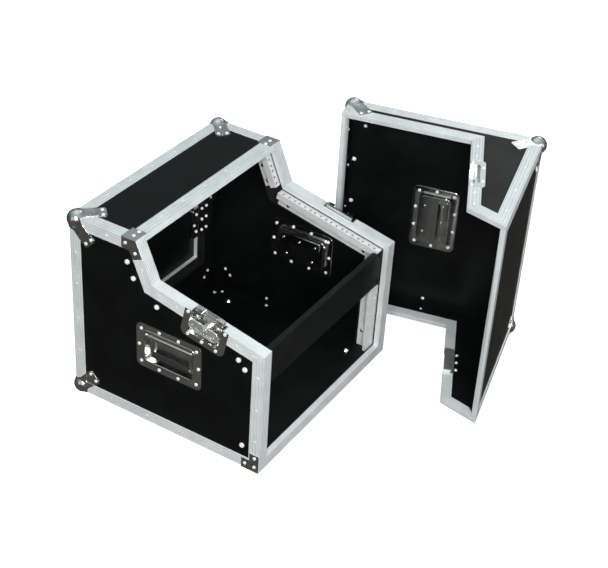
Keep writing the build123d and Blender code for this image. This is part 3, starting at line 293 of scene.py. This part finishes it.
laminate = surface(
    "black_laminate", dark=(0.0024, 0.0029, 0.003), light=(0.0046, 0.0054, 0.0056), rough=(0.3, 0.44),
    metallic=0, grain=900, depth=0.06 * mm, mottle=14, cells=700, gloss=0.2,
)
lining = surface(
    "black_lining", dark=(0.002, 0.0024, 0.0026), light=(0.004, 0.0046, 0.005), rough=(0.42, 0.6),
    metallic=0, grain=700, depth=0.05 * mm, mottle=10, cells=500, gloss=0.2,
)
timber = surface(
    "stained_batten", dark=(0.003, 0.003, 0.003), light=(0.009, 0.008, 0.007), rough=(0.55, 0.8),
    metallic=0, grain=220, depth=0.2 * mm, mottle=30, stretch=(1, 0.15, 1),
)
extrusion = surface(
    "satin_extrusion", dark=(0.725, 0.765, 0.775), light=(0.835, 0.87, 0.88), rough=(0.36, 0.5),
    metallic=0.2, grain=1400, depth=0.01 * mm, mottle=22,
)
bright = surface(
    "plated_fitting", dark=(0.66, 0.665, 0.66), light=(0.84, 0.84, 0.83), rough=(0.13, 0.25),
    metallic=1, grain=500, depth=0.02 * mm, mottle=26,
)
rail_zinc = surface(
    "zinc_rail", dark=(0.76, 0.775, 0.77), light=(0.88, 0.89, 0.88), rough=(0.32, 0.48),
    metallic=0.25, grain=800, depth=0.02 * mm, mottle=60,
)
coated = surface(
    "powder_coat", dark=(0.005, 0.0055, 0.006), light=(0.009, 0.0095, 0.01), rough=(0.38, 0.5),
    metallic=0, grain=1500, depth=0.04 * mm, mottle=20, cells=900, gloss=0.16,
)
rubber = surface(
    "black_rubber", dark=(0.008, 0.008, 0.008), light=(0.016, 0.016, 0.016), rough=(0.6, 0.8),
    metallic=0, grain=900, depth=0.05 * mm, mottle=40,
)
spring_steel = surface(
    "spring_steel", dark=(0.35, 0.35, 0.36), light=(0.55, 0.55, 0.56), rough=(0.25, 0.4),
    metallic=1, grain=900, depth=0.01 * mm, mottle=40,
)
# Rivets: their own pale metal, whitened further and made mostly diffuse as a painted highlight, so the small
# heads read as bright dots
rivet_tone_and_highlight = surface(
    "rivet_tone_and_highlight", dark=(0.86, 0.87, 0.86), light=(0.95, 0.96, 0.95), rough=(0.16, 0.28),
    metallic=0.15, grain=700, depth=0.01 * mm, mottle=60,
)
# Ribs: the extrusion's colour darkened, as painted shade that draws dark lines along the profiles
rib_shade = surface(
    "rib_painted_shade", dark=(0.56, 0.58, 0.585), light=(0.68, 0.7, 0.705), rough=(0.3, 0.44),
    metallic=0.25, grain=1400, depth=0.01 * mm, mottle=22,
)
satin_zinc = surface(
    "satin_zinc", dark=(0.62, 0.64, 0.63), light=(0.76, 0.78, 0.77), rough=(0.32, 0.46),
    metallic=0.95, grain=400, depth=0.03 * mm, mottle=60,
)
dish_zinc = surface(
    "dish_zinc", dark=(0.66, 0.665, 0.66), light=(0.84, 0.84, 0.83), rough=(0.17, 0.28),
    metallic=1, grain=500, depth=0.02 * mm, mottle=26,
)
wing_zinc = surface(
    "wing_zinc", dark=(0.66, 0.67, 0.63), light=(0.88, 0.89, 0.85), rough=(0.14, 0.3),
    metallic=0.75, grain=190, depth=0.4 * mm, mottle=70,
)
pressed = surface(
    "pressed_corner", dark=(0.6, 0.61, 0.6), light=(0.86, 0.87, 0.86), rough=(0.14, 0.3),
    metallic=1, grain=150, depth=0.4 * mm, mottle=50,
)

# The finish of each material slot, and of single nodes and rounded copies that differ from it
finish_of = {
    "laminate": laminate,
    "wood": timber,
    "extrusion": extrusion,
    "zinc": bright,
    "rail": rail_zinc,
    "black_steel": coated,
    "black_rubber": rubber,
    "spring_steel": spring_steel,
}
node_finish = {
    "bottom_panel": lining,
    "back_panel": lining,
    # Rivets take the whitened finish, partly their own pale metal and partly a painted highlight
    "base_rivets": rivet_tone_and_highlight,
    "lid_rivets": rivet_tone_and_highlight,
    "door_rivets": rivet_tone_and_highlight,
}
copy_finish = {
    "base_ball_corners": pressed,
    "lid_ball_corners": pressed,
    "lid_keepers": satin_zinc,
    "handle_dishes": dish_zinc,
    "lid_handle_dish": dish_zinc,
}
slot_of = {part["node"]: part["material_slot"] for part in frame["record"]["subparts"]}
body_of = {name: body for body, names in frame["record"]["behaviour"]["bodies"].items() for name in names}


def paint(thing, finish):
    """Give an object one material on all its slots."""
    if not thing.material_slots:
        thing.data.materials.append(finish)
    for slot in thing.material_slots:
        slot.material = finish


# Pieces
def add_piece(name, mesh, body, slot, finish=None):
    """A new piece in a body, painted with a record slot's finish or a finer one of its own."""
    thing = bpy.data.objects.new(name, mesh)
    scene.collection.objects.link(thing)
    paint(thing, finish or finish_of[slot])
    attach(thing, body)
    return thing


def add_shapes(name, shapes, body, slot, finish=None):
    """A new piece from collected shapes or ribs."""
    return add_piece(name, shapes.mesh(name), body, slot, finish)


def soften(thing, width, segments):
    """Small rounded edges, and smooth shading that leaves flat faces flat."""
    bevel = thing.modifiers.new("edges", "BEVEL")
    bevel.width = width
    bevel.segments = segments
    bevel.limit_method = "ANGLE"
    bevel.angle_limit = radians(28)
    bevel.use_clamp_overlap = True
    even = thing.modifiers.new("flats", "WEIGHTED_NORMAL")
    even.weight = 100
    for face in thing.data.polygons:
        face.use_smooth = True


def rounded_copy(node, width, segments=2, finish=None):
    """A finished copy of a node with its edges rounded, shown in its place."""
    mesh = nodes[node].data.copy()
    work = bmesh.new()
    work.from_mesh(mesh)
    bmesh.ops.remove_doubles(work, verts=work.verts, dist=1e-6)
    bmesh.ops.dissolve_limit(
        work, angle_limit=radians(0.6), verts=work.verts, edges=work.edges, delimit={"NORMAL"}
    )
    work.to_mesh(mesh)
    work.free()
    mesh.materials.clear()
    thing = add_piece(node + ".finished", mesh, body_of[node], slot_of[node], finish)
    soften(thing, width, segments)
    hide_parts(node)
    return thing


# Hardware planes, with Z pointing out of the case
def plane_matrix(origin, x_dir, z_dir):
    """A local frame from its origin, its X and its Z."""
    across, out = Vector(x_dir), Vector(z_dir)
    return Matrix.Translation(Vector(origin)) @ Matrix((across, out.cross(across), out)).transposed().to_4x4()


slope_length = (kink - nose).length
slope_run = (kink - nose).normalized()
latch_spot = nose + slope_run * latch_run
latch_left = plane_matrix((-wall_x, latch_spot.y, latch_spot.z), -slope_run, (-1, 0, 0))
latch_right = plane_matrix((wall_x, latch_spot.y, latch_spot.z), slope_run, (1, 0, 0))
latch_rear = plane_matrix((172 * mm, back_y - skin, 230 * mm), (0, 0, -1), (0, 1, 0))
handle_y = -10 * mm
handle_z = 204 * mm
lid_handle_z = 232 * mm
handle_left = plane_matrix((-wall_x, handle_y, handle_z), (0, -1, 0), (-1, 0, 0))
handle_right = plane_matrix((wall_x, handle_y, handle_z), (0, 1, 0), (1, 0, 0))
handle_lid = lid_rest @ plane_matrix((0, lid_front_y + skin, lid_handle_z), (1, 0, 0), (0, -1, 0))


def corner_matrix(point, into):
    """A corner's local frame, with the case in its positive octant."""
    sx, sy, sz = into
    if sx * sy * sz > 0:
        return plane_matrix(point, (sx, 0, 0), (0, 0, sz))
    return plane_matrix(point, (0, sy, 0), (0, 0, sz))


def spot(x, y, z=0):
    """A place in a local frame, in millimetres."""
    return Matrix.Translation(Vector((x, y, z)) * mm)


# Turned and pressed shapes, with local sizes in millimetres
def ring_of(radius, height, steps, centre):
    """Points round a circle."""
    turn = 2 * pi / steps
    return [
        (centre[0] + radius * cos(turn * step), centre[1] + radius * sin(turn * step), height)
        for step in range(steps)
    ]


def rounded_box(length, width, radius, height, centre=(0, 0), steps=6):
    """Points round a rectangle with round corners."""
    points = []
    for corner, (sx, sy) in enumerate(((1, 1), (-1, 1), (-1, -1), (1, -1))):
        for step in range(steps + 1):
            turn = (corner + step / steps) * pi / 2
            x = centre[0] + sx * (length / 2 - radius) + radius * cos(turn)
            y = centre[1] + sy * (width / 2 - radius) + radius * sin(turn)
            points.append((x, y, height))
    return points


class Shapes:
    """Collects lofted shapes into one mesh."""

    def __init__(self):
        """Start with an empty mesh."""
        self.work = bmesh.new()

    def loft(self, loops, place, ring=False):
        """Skin between loops of equal length; a ring closes on itself, others get end caps."""
        rows = [[self.work.verts.new(place @ (Vector(point) * mm)) for point in loop] for loop in loops]
        pairs = list(zip(rows[:-1], rows[1:]))
        if ring:
            pairs.append((rows[-1], rows[0]))
        for low, high in pairs:
            for a, b, c, d in zip(low, low[1:] + low[:1], high[1:] + high[:1], high):
                self.work.faces.new((a, b, c, d))
        if not ring:
            self.work.faces.new(rows[0][::-1])
            self.work.faces.new(rows[-1])

    def turned(self, profile, place, centre=(0, 0), steps=16):
        """A turned shape from radius and height pairs."""
        self.loft([ring_of(radius, height, steps, centre) for radius, height in profile], place)

    def mesh(self, name):
        """Finish the mesh, smooth where it curves."""
        bmesh.ops.recalc_face_normals(self.work, faces=self.work.faces)
        made = bpy.data.meshes.new(name)
        self.work.to_mesh(made)
        self.work.free()
        for face in made.polygons:
            face.use_smooth = True
        made.set_sharp_from_angle(angle=radians(32))
        return made


# Ribs along the edge profiles
rib_width = 1.7 * mm
rib_height = 0.6 * mm
rib_section = ((-0.5, -0.1), (-0.28, 1), (0.28, 1), (0.5, -0.1))  # in widths and heights, foot sunk
rib_margin = 3.2 * mm  # from a leg's edges to the first and last rib
face_margin = 3 * mm  # the same on the mating faces
shortest_rib = 2 * mm
lid_face = 12 * mm  # width of the lid's mating face


class Ribs:
    """Collects thin raised ribs into one mesh."""

    def __init__(self):
        """Start with no ribs."""
        self.points = []
        self.faces = []

    def rib(self, start, end, across, out):
        """One rib with sloping sides."""
        base = len(self.points)
        for place in (start, end):
            for side, height in rib_section:
                self.points.append(place + across * side * rib_width + out * height * rib_height)
        for step in range(3):
            self.faces.append((base + step, base + step + 4, base + step + 5, base + step + 1))
        self.faces.append((base, base + 1, base + 2, base + 3))
        self.faces.append((base + 7, base + 6, base + 5, base + 4))
        self.faces.append((base, base + 3, base + 7, base + 4))

    def band(self, start, end, across, out, width, trims=(1, 1), gaps=(), margin=rib_margin, count=4):
        """Ribs side by side over one leg; trims are the mitre slopes at both ends."""
        run = (end - start).normalized()
        length = (end - start).length
        for step in range(count):
            offset = margin + (width - 2 * margin) * step / (count - 1)
            spans = [(trims[0] * offset, length - trims[1] * offset)]
            for low, high in gaps:
                spans = [
                    part
                    for a, b in spans
                    for part in ((a, min(b, low)), (max(a, high), b))
                    if part[1] - part[0] > shortest_rib
                ]
            for a, b in spans:
                self.rib(start + run * a + across * offset, start + run * b + across * offset, across, out)

    def mesh(self, name):
        """Finish the mesh, with flat faces."""
        made = bpy.data.meshes.new(name)
        made.from_pydata(self.points, [], self.faces)
        made.update()
        return made


def at(x, point):
    """A point of the side outline at some x."""
    return Vector((x, point.y, point.z))


def inner_normal(start, end):
    """The direction into the case from an outline run drawn with the case on its left."""
    run = (end - start).normalized()
    return Vector((0, -run.z, run.y))


def mitre(before, here, after):
    """How far a mitre runs along an edge for each step inwards, at one outline corner."""
    a = (here - before).normalized()
    b = (after - here).normalized()
    across = Vector((0, -a.z, a.y))
    return (1 - a.dot(b)) / -across.dot(b) if abs(across.dot(b)) > 1e-6 else 0.0


def outline_ribs(ribs, outline, latch_centre, face_width, face_count):
    """Ribs on the outer leg and on the mating face, leaving room for the latch along its edge."""
    face_half = latch_half - 16 * mm
    for first, second in zip(mating_corners[:-1], mating_corners[1:]):
        start, end = outline[first], outline[second]
        before, after = outline[first - 1], outline[(second + 1) % len(outline)]
        inwards = inner_normal(start, end)
        trims = (-mitre(before, start, end), -mitre(start, end, after))
        gaps, face_gaps = [], []
        if (first, second) == latch_edge:
            gaps = [(latch_centre - latch_half, latch_centre + latch_half)]
            face_gaps = [(latch_centre - face_half, latch_centre + face_half)]
        for side in (-1, 1):
            outwards = Vector((side, 0, 0))
            low, high = at(side * half_width, start), at(side * half_width, end)
            ribs.band(low, high, inwards, outwards, leg, trims, gaps)
            ribs.band(
                low, high, -outwards, -inwards, face_width, (0, 0), face_gaps, face_margin, face_count
            )


def box_edges(ribs, far_y, under_y, top_y, top_trim):
    """Ribs on the straight edge profiles of a box whose closed face is at far_y.

    under_y and top_y are where the long edges end, and top_trim is the mitre slope at the top one.
    """
    inward = Vector((0, 1 if under_y > far_y else -1, 0))
    for z, up, near_y, trim in ((under_z, 1, under_y, 1), (top_z, -1, top_y, top_trim)):
        vertical = Vector((0, 0, up))
        start, end = Vector((-half_width, far_y, z)), Vector((half_width, far_y, z))
        ribs.band(start, end, inward, -vertical, leg)
        ribs.band(start, end, vertical, -inward, leg)
        for side in (-1, 1):
            sideways = Vector((side, 0, 0))
            start, end = Vector((side * half_width, far_y, z)), Vector((side * half_width, near_y, z))
            ribs.band(start, end, vertical, sideways, leg, (1, trim))
            ribs.band(start, end, -sideways, -vertical, leg)
    for side in (-1, 1):
        sideways = Vector((side, 0, 0))
        start, end = Vector((side * half_width, far_y, under_z)), Vector((side * half_width, far_y, top_z))
        ribs.band(start, end, inward, sideways, leg)
        ribs.band(start, end, -sideways, -inward, leg)


def base_ribs():
    """Ribs on the base's side frames and edges."""
    ribs = Ribs()
    outline_ribs(ribs, base_outline, slope_length - latch_run, leg, 5)
    box_edges(ribs, back_y, front_y, top_front.y + top_leg, 1)
    return ribs


def lid_ribs():
    """Ribs on the lid, placed where it stands and kept inside the CAD model's box."""
    ribs = Ribs()
    front_lean = kink_run / kink_drop
    outline_ribs(ribs, lid_outline, latch_run, lid_face, 3)
    box_edges(ribs, lid_front_y, front_y, top_front.y, front_lean + hypot(1, front_lean))
    mesh = ribs.mesh("profile_ribs_lid")
    mesh.transform(lid_rest)
    for point in mesh.vertices:
        point.co.y = max(point.co.y, cad_box[0][1])
        point.co.z = max(point.co.z, cad_box[0][2])
    return mesh


def cross_ribs():
    """Ribs on the front sill and on the top cross profile."""
    ribs = Ribs()
    left, right = leg - half_width, half_width - leg
    up, back = Vector((0, 0, 1)), Vector((0, 1, 0))
    start, end = Vector((left, front_y, under_z)), Vector((right, front_y, under_z))
    ribs.band(start, end, up, -back, leg, (0, 0), (), face_margin, 5)
    start, end = Vector((left, top_front.y, top_z)), Vector((right, top_front.y, top_z))
    ribs.band(start, end, back, up, top_leg, (0, 0))
    return ribs


# Rivet tails inside the case: turned profiles, then places in the hardware planes, in millimetres
tail = [(4.1, 0), (4.1, 0.5), (3.7, 0.8), (3.0, 0.9), (2.9, 1.9), (2.4, 2.5), (1.4, 2.7), (1.0, 2.0)]
big_tail = [(5.6, 0), (5.6, 0.6), (5.0, 1.4), (4.6, 2.4), (3.6, 3.5), (1.9, 4.0), (1.5, 3.0)]
small_tail = [(3.0, 0), (3.0, 0.4), (2.3, 0.6), (2.2, 1.5), (1.6, 2.0), (0.8, 2.1)]
ball_rivets = [(43, 57), (57, 43)]
handle_rivets = [(sx * 72, sy * 43) for sx in (-1, 1) for sy in (-1, 1)]
handle_rivets += [(sx * 25, sy * 49) for sx in (-1, 1) for sy in (-1, 1)] + [(-77.5, 0), (77.5, 0)]
latch_rivets = [(-36, -61), (0, -61), (36, -61)]
rear_latch_rivets = [(-47, -14), (47, -14)] + latch_rivets
plate_rivets = [(x, y) for x in (-30, 0, 30) for y in (-14, -32)]
lid_keeper_rivets = [(-28, 30), (0, 30), (28, 30)]
door_keeper_rivets = [(-24, 9), (24, 9), (4, 17)]
strap_x = (-118, 0, 118)  # rivets along the bottom edge profiles

# Turned to face into the case, behind a panel, a handle's backing frame or the back's two layers
backing_rear = 10.3
flip = Matrix.Rotation(pi, 4, "X")
inside = spot(0, 0, -ply / mm) @ flip
behind_frame = spot(0, 0, 0.05 - backing_rear) @ flip
behind_back = spot(0, 0, -(2 * ply + hair) / mm) @ flip

# Inner faces of the panels, a hair inside
inner_x = wall_x - ply - hair
inner_back_y = back_y - skin - ply - hair
inner_lid_y = lid_front_y + skin + ply + hair
inner_z = ply + hair


def corner_tails(shapes, corner):
    """Tails of the six rivets that hold a ball corner."""
    depth = (skin + ply + hair) / mm
    axes = (Vector((0, 0, 1)), Vector((1, 0, 0)), Vector((0, 1, 0)))
    for turn, axis in enumerate(axes):
        upright = axis.to_track_quat("Z", "Y").to_matrix().to_4x4()
        for a, b in ball_rivets:
            place = Vector((a, b, depth))
            for _ in range(turn):
                place = Vector((place.z, place.x, place.y))
            shapes.turned(tail, corner @ Matrix.Translation(place * mm) @ upright)


def base_tails():
    """Tails of the rivets in the base."""
    tails = Shapes()
    for sx in (-1, 1):
        for z, sz in ((under_z, 1), (top_z, -1)):
            corner_tails(tails, corner_matrix((sx * half_width, back_y, z), (-sx, -1, sz)))
    for plane in (handle_left, handle_right):
        for x, y in handle_rivets:
            tails.turned(tail, plane @ spot(x, y) @ behind_frame)
    for plane, rivets in (
        (latch_left, latch_rivets), (latch_right, latch_rivets), (latch_rear, rear_latch_rivets)
    ):
        for x, y in rivets:
            tails.turned(tail, plane @ spot(x, y) @ inside)
    for x, y in plate_rivets:
        tails.turned(tail, latch_rear @ spot(x, y) @ behind_back)
    side_x, side_y, side_z = inner_x + 0.5 * mm, 81 * mm, 17 * mm
    floor_x, floor_y = 243 * mm, 70 * mm
    for sx in (-1, 1):
        tails.turned(tail, plane_matrix((sx * side_x, side_y, side_z), (0, -sx, 0), (-sx, 0, 0)))
        tails.turned(tail, Matrix.Translation((sx * floor_x, floor_y, inner_z)))
    strap_y, strap_z = 218 * mm, 30 * mm
    for x in strap_x:
        tails.turned(tail, Matrix.Translation((x * mm, strap_y, inner_z)))
        tails.turned(tail, plane_matrix((x * mm, inner_back_y, strap_z), (1, 0, 0), (0, -1, 0)))
    return tails


def lid_tails():
    """Tails of the rivets in the lid."""
    tails = Shapes()
    for sx in (-1, 1):
        for z, sz in ((under_z, 1), (top_z, -1)):
            corner = corner_matrix((sx * half_width, lid_front_y, z), (-sx, 1, sz))
            corner_tails(tails, lid_rest @ corner)
    for x, y in handle_rivets:
        tails.turned(tail, handle_lid @ spot(x, y) @ behind_frame)
    for plane in (latch_left, latch_right):
        for x, y in lid_keeper_rivets:
            tails.turned(tail, lid_rest @ plane @ spot(x, y) @ inside)
    strap_y, strap_z, strap_shift = -298 * mm, 20 * mm, -14
    for x in strap_x:
        front = plane_matrix((x * mm, inner_lid_y, strap_z), (1, 0, 0), (0, 1, 0))
        tails.turned(big_tail, lid_rest @ front)
        low = Matrix.Translation(((x + strap_shift) * mm, strap_y, inner_z))
        tails.turned(small_tail, lid_rest @ low)
    front_x, front_z = 240 * mm, 228 * mm
    side_y, side_z = -290 * mm, 230 * mm
    for sx in (-1, 1):
        front = plane_matrix((sx * front_x, inner_lid_y, front_z), (1, 0, 0), (0, 1, 0))
        tails.turned(tail, lid_rest @ front)
        side = plane_matrix((sx * inner_x, side_y, side_z), (0, -sx, 0), (-sx, 0, 0))
        tails.turned(small_tail, lid_rest @ side)
    return tails


def door_tails():
    """Tails of the rivets in the keeper on the rear door, which is as deep as the back's two layers."""
    tails = Shapes()
    for x, y in door_keeper_rivets:
        tails.turned(tail, latch_rear @ spot(x, y) @ behind_back)
    return tails


# Domed heads over the rail screws
dome = [(5.9, 0.02), (5.9, 2.5), (5.5, 3.3), (4.6, 4.1), (3.2, 4.7), (1.9, 4.9), (1.8, 3.2)]
screw_depth = 46 * mm  # behind the outline
screw_runs = (
    (foot, nose, (56, 258)),
    (nose, kink, (54, 266)),
    (kink, top_front, (18, 57)),
)


def screw_domes():
    """Heads on both side panels, at distances along the outline in millimetres."""
    domes = Shapes()
    for start, end, distances in screw_runs:
        run = (end - start).normalized()
        into = Vector((0, run.z, -run.y))
        for distance in distances:
            place = start + run * distance * mm + into * screw_depth
            for sx in (-1, 1):
                domes.turned(dome, plane_matrix((sx * wall_x, place.y, place.z), (0, sx, 0), (sx, 0, 0)))
    return domes


# Recessed handles
def dish_rim(plane):
    """The raised rim pressed round a dish's opening."""
    shapes = Shapes()
    loops = [
        rounded_box(139, 87, 13, 1.15),
        rounded_box(137, 85, 12.5, 2.2),
        rounded_box(132, 80, 10.5, 2.5),
        rounded_box(127.2, 75.2, 8.6, 2.0),
        rounded_box(126.2, 74.2, 8.1, 0.9),
        rounded_box(132, 80, 11, 0.9),
    ]
    shapes.loft(loops, plane, ring=True)
    return shapes


def dish_backing(plane):
    """The frame that the rivets clench behind a dish, and the bar pressed out of its pocket."""
    shapes = Shapes()
    outer, inner = (170, 114, 14), (133, 81, 10)
    face, edge = -(ply + hair) / mm, -9.9
    loops = [
        rounded_box(*outer, face),
        rounded_box(*outer, edge),
        rounded_box(168.8, 112.8, 13.4, -backing_rear),
        rounded_box(134.6, 82.6, 10.8, -backing_rear),
        rounded_box(*inner, edge),
        rounded_box(*inner, face),
    ]
    shapes.loft(loops, plane, ring=True)
    centre = (0, 21)
    bar = [
        rounded_box(112, 25, 5, -17.6, centre),
        rounded_box(112, 25, 5, -18.2, centre),
        rounded_box(109, 22, 4, -20.6, centre),
        rounded_box(104, 17, 3, -21.2, centre),
    ]
    shapes.loft(bar, plane)
    shrink = 0.8
    for places, seat in ((((-44, 20), (0, 20), (44, 20)), -21.1), (((-36, -25), (36, -25)), -17.9)):
        for place in places:
            shapes.turned([(radius * shrink, seat - height) for radius, height in tail], plane, place)
    return shapes


grip_axis = (-22, -8)  # in the handle plane, folded
flutes = 18
flute_depth = 0.035


def grip_ring(radius, x, wave=0):
    """A section of a grip at a place along it, round or with waves as flutes."""
    points = []
    for step in range(flutes * 4):
        turn = 2 * pi * step / (flutes * 4)
        reach = radius * (1 + wave * cos(flutes * turn))
        points.append((x, grip_axis[0] + reach * cos(turn), grip_axis[1] + reach * sin(turn)))
    return points


def grip_moulding(plane):
    """A fluted grip with a smooth collar at each end, open along its bore."""
    bore, collar, neck = 3.05, 7.1, 6.5
    start = [(bore, -47.95), (6.6, -47.95), (collar, -47.4), (collar, -43.5), (neck, -43)]
    waist = [(6.8, -42), (6.95, -20), (6.95, 20), (6.8, 42)]
    grip = Shapes()
    loops = [grip_ring(radius, x) for radius, x in start]
    loops += [grip_ring(radius, x, flute_depth) for radius, x in waist]
    loops += [grip_ring(radius, -x) for radius, x in reversed(start)]
    grip.loft(loops, plane, ring=True)
    return grip


# Latches
wing_centre = (0, -27)
wing_size = (76, 27, 13.4)
wing_face = 5.1
boss = [
    (9.4, 5.1), (9.2, 6.2), (7.6, 6.9), (6.4, 6.9), (6.0, 6.2), (3.4, 6.2), (3.2, 7.2), (2.2, 7.7), (0.8, 7.8)
]


def inset_box(size, inset, height, centre, steps):
    """Points round a rectangle with round corners, moved in on all sides."""
    length, width, radius = size
    return rounded_box(length - 2 * inset, width - 2 * inset, radius - inset, height, centre, steps)


def wing_trim(plane):
    """The rolled edge, boss and pressed ribs of a latch wing."""
    shapes = Shapes()
    rolled = ((0, wing_face), (0.2, 5.9), (1.3, 6.3), (2.4, 5.9), (2.6, wing_face))
    loops = [inset_box(wing_size, inset, height, wing_centre, 10) for inset, height in rolled]
    shapes.loft(loops, plane, ring=True)
    shapes.turned(boss, plane, wing_centre, 24)
    for step in range(4):
        centre = (0, wing_centre[1] - 5.0 - 1.7 * step)
        length = 48 - 3 * step
        rib = [
            rounded_box(length, 1.0, 0.45, wing_face, centre, 2),
            rounded_box(length - 0.2, 0.8, 0.35, 5.7, centre, 2),
        ]
        shapes.loft(rib, plane)
    return shapes


def latch_guide(plane):
    """The blocks and lips that guide a tongue, the plate behind it and the spindle's collar."""
    shapes = Shapes()
    for side in (-1, 1):
        block_centre, neck_centre, lip_centre = (side * 27, -6.5), (side * 27, -9), (side * 26, 10.0)
        block = [
            rounded_box(18, 20, 2, -15.0, block_centre),
            rounded_box(18, 20, 2, -5.2, block_centre),
            rounded_box(16.8, 18.8, 1.6, -4.6, block_centre),
            rounded_box(6, 6, 2.9, -4.6, neck_centre),
            rounded_box(5.8, 5.8, 2.8, -9, neck_centre),
        ]
        shapes.loft(block, plane)
        lip = [
            rounded_box(17, 1.2, 0.5, -15.3, lip_centre),
            rounded_box(17, 1.2, 0.5, -6.2, lip_centre),
            rounded_box(16.4, 0.8, 0.3, -5.9, lip_centre),
        ]
        shapes.loft(lip, plane)
    plate_centre = (0, 3.7)
    plate = [
        rounded_box(70, 13.8, 2, -16.7, plate_centre),
        rounded_box(70, 13.8, 2, -15.5, plate_centre),
        rounded_box(69.4, 13.2, 1.7, -15.2, plate_centre),
    ]
    shapes.loft(plate, plane)
    collar = [(11.6, -14.9), (11.6, -13.6), (10.8, -13.0), (10.3, -12.9)]
    shapes.turned(collar, plane, wing_centre, 24)
    return shapes


# Edge rounding of each finished copy, in millimetres
edge_width = {
    "front_frame_left": 0.35,
    "front_frame_right": 0.35,
    "front_sill_profile": 0.35,
    "top_cross_profile": 0.35,
    "base_edge_profiles": 0.35,
    "lid_edge_profiles": 0.35,
    "lid_mating_frame": 0.35,
    "door_opening_frame": 0.3,
    "rear_door_edge_frame": 0.3,
    "rack_rails_front": 0.5,
    "rack_rails_slope": 0.5,
    "rack_rails_top": 0.5,
    "blank_panel": 0.5,
    "base_ball_corners": 0.5,
    "lid_ball_corners": 0.5,
    "base_corner_braces": 0.4,
    "latch_dishes": 0.45,
    "handle_dishes": 0.45,
    "lid_handle_dish": 0.45,
    "lid_keepers": 0.4,
    "door_keeper": 0.4,
    "latch_plates": 0.4,
    "hinge_leaf_fixed": 0.3,
    "hinge_leaf_door": 0.3,
    "rubber_feet": 0.8,
}

# The scene
camera()
studio()

for name, node in nodes.items():
    paint(node, node_finish.get(name) or finish_of[slot_of[name]])
for name, width in edge_width.items():
    rounded_copy(name, width * mm, 2, copy_finish.get(name))
for side in ("left", "right", "rear"):
    rounded_copy("latch_key_" + side, 0.7 * mm, 3, wing_zinc)
    rounded_copy("latch_tongue_" + side, 0.4 * mm)
for name in ("handle_bail_left", "handle_bail_right", "lid_handle_bail"):
    rounded_copy(name, 1.2 * mm, 3)

# The ribs wear a darkened copy of the extrusion finish, as painted shade
add_shapes("profile_ribs_base", base_ribs(), "base", "extrusion", rib_shade)
add_piece("profile_ribs_lid", lid_ribs(), "lid", "extrusion", rib_shade)
add_shapes("profile_ribs_cross", cross_ribs(), "base", "extrusion", rib_shade)

# Tails and screw heads in the whitened rivet finish, partly a painted highlight
add_shapes("rivet_tails_base", base_tails(), "base", "zinc", rivet_tone_and_highlight)
add_shapes("rivet_tails_lid", lid_tails(), "lid", "zinc", rivet_tone_and_highlight)
add_shapes("rivet_tails_door", door_tails(), "rear_door", "zinc", rivet_tone_and_highlight)
add_shapes("rail_screw_heads", screw_domes(), "base", "zinc", rivet_tone_and_highlight)

handles = (
    ("left", handle_left, "base", "handle_grip_left"),
    ("right", handle_right, "base", "handle_grip_right"),
    ("lid", handle_lid, "lid", "lid_handle_grip"),
)
for name, plane, body, _ in handles:
    add_shapes("handle_rim_" + name, dish_rim(plane), body, "zinc")
    add_shapes("handle_backing_" + name, dish_backing(plane), body, "zinc")
for name, plane, _, node in handles:
    piece = add_shapes("grip_moulding_" + name, grip_moulding(plane), body_of[node], slot_of[node])
    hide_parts(node)

for name, plane in (("left", latch_left), ("right", latch_right), ("rear", latch_rear)):
    add_shapes("latch_wing_trim_" + name, wing_trim(plane), "key_" + name, "zinc", wing_zinc)
    add_shapes("latch_guide_" + name, latch_guide(plane), "base", "zinc")
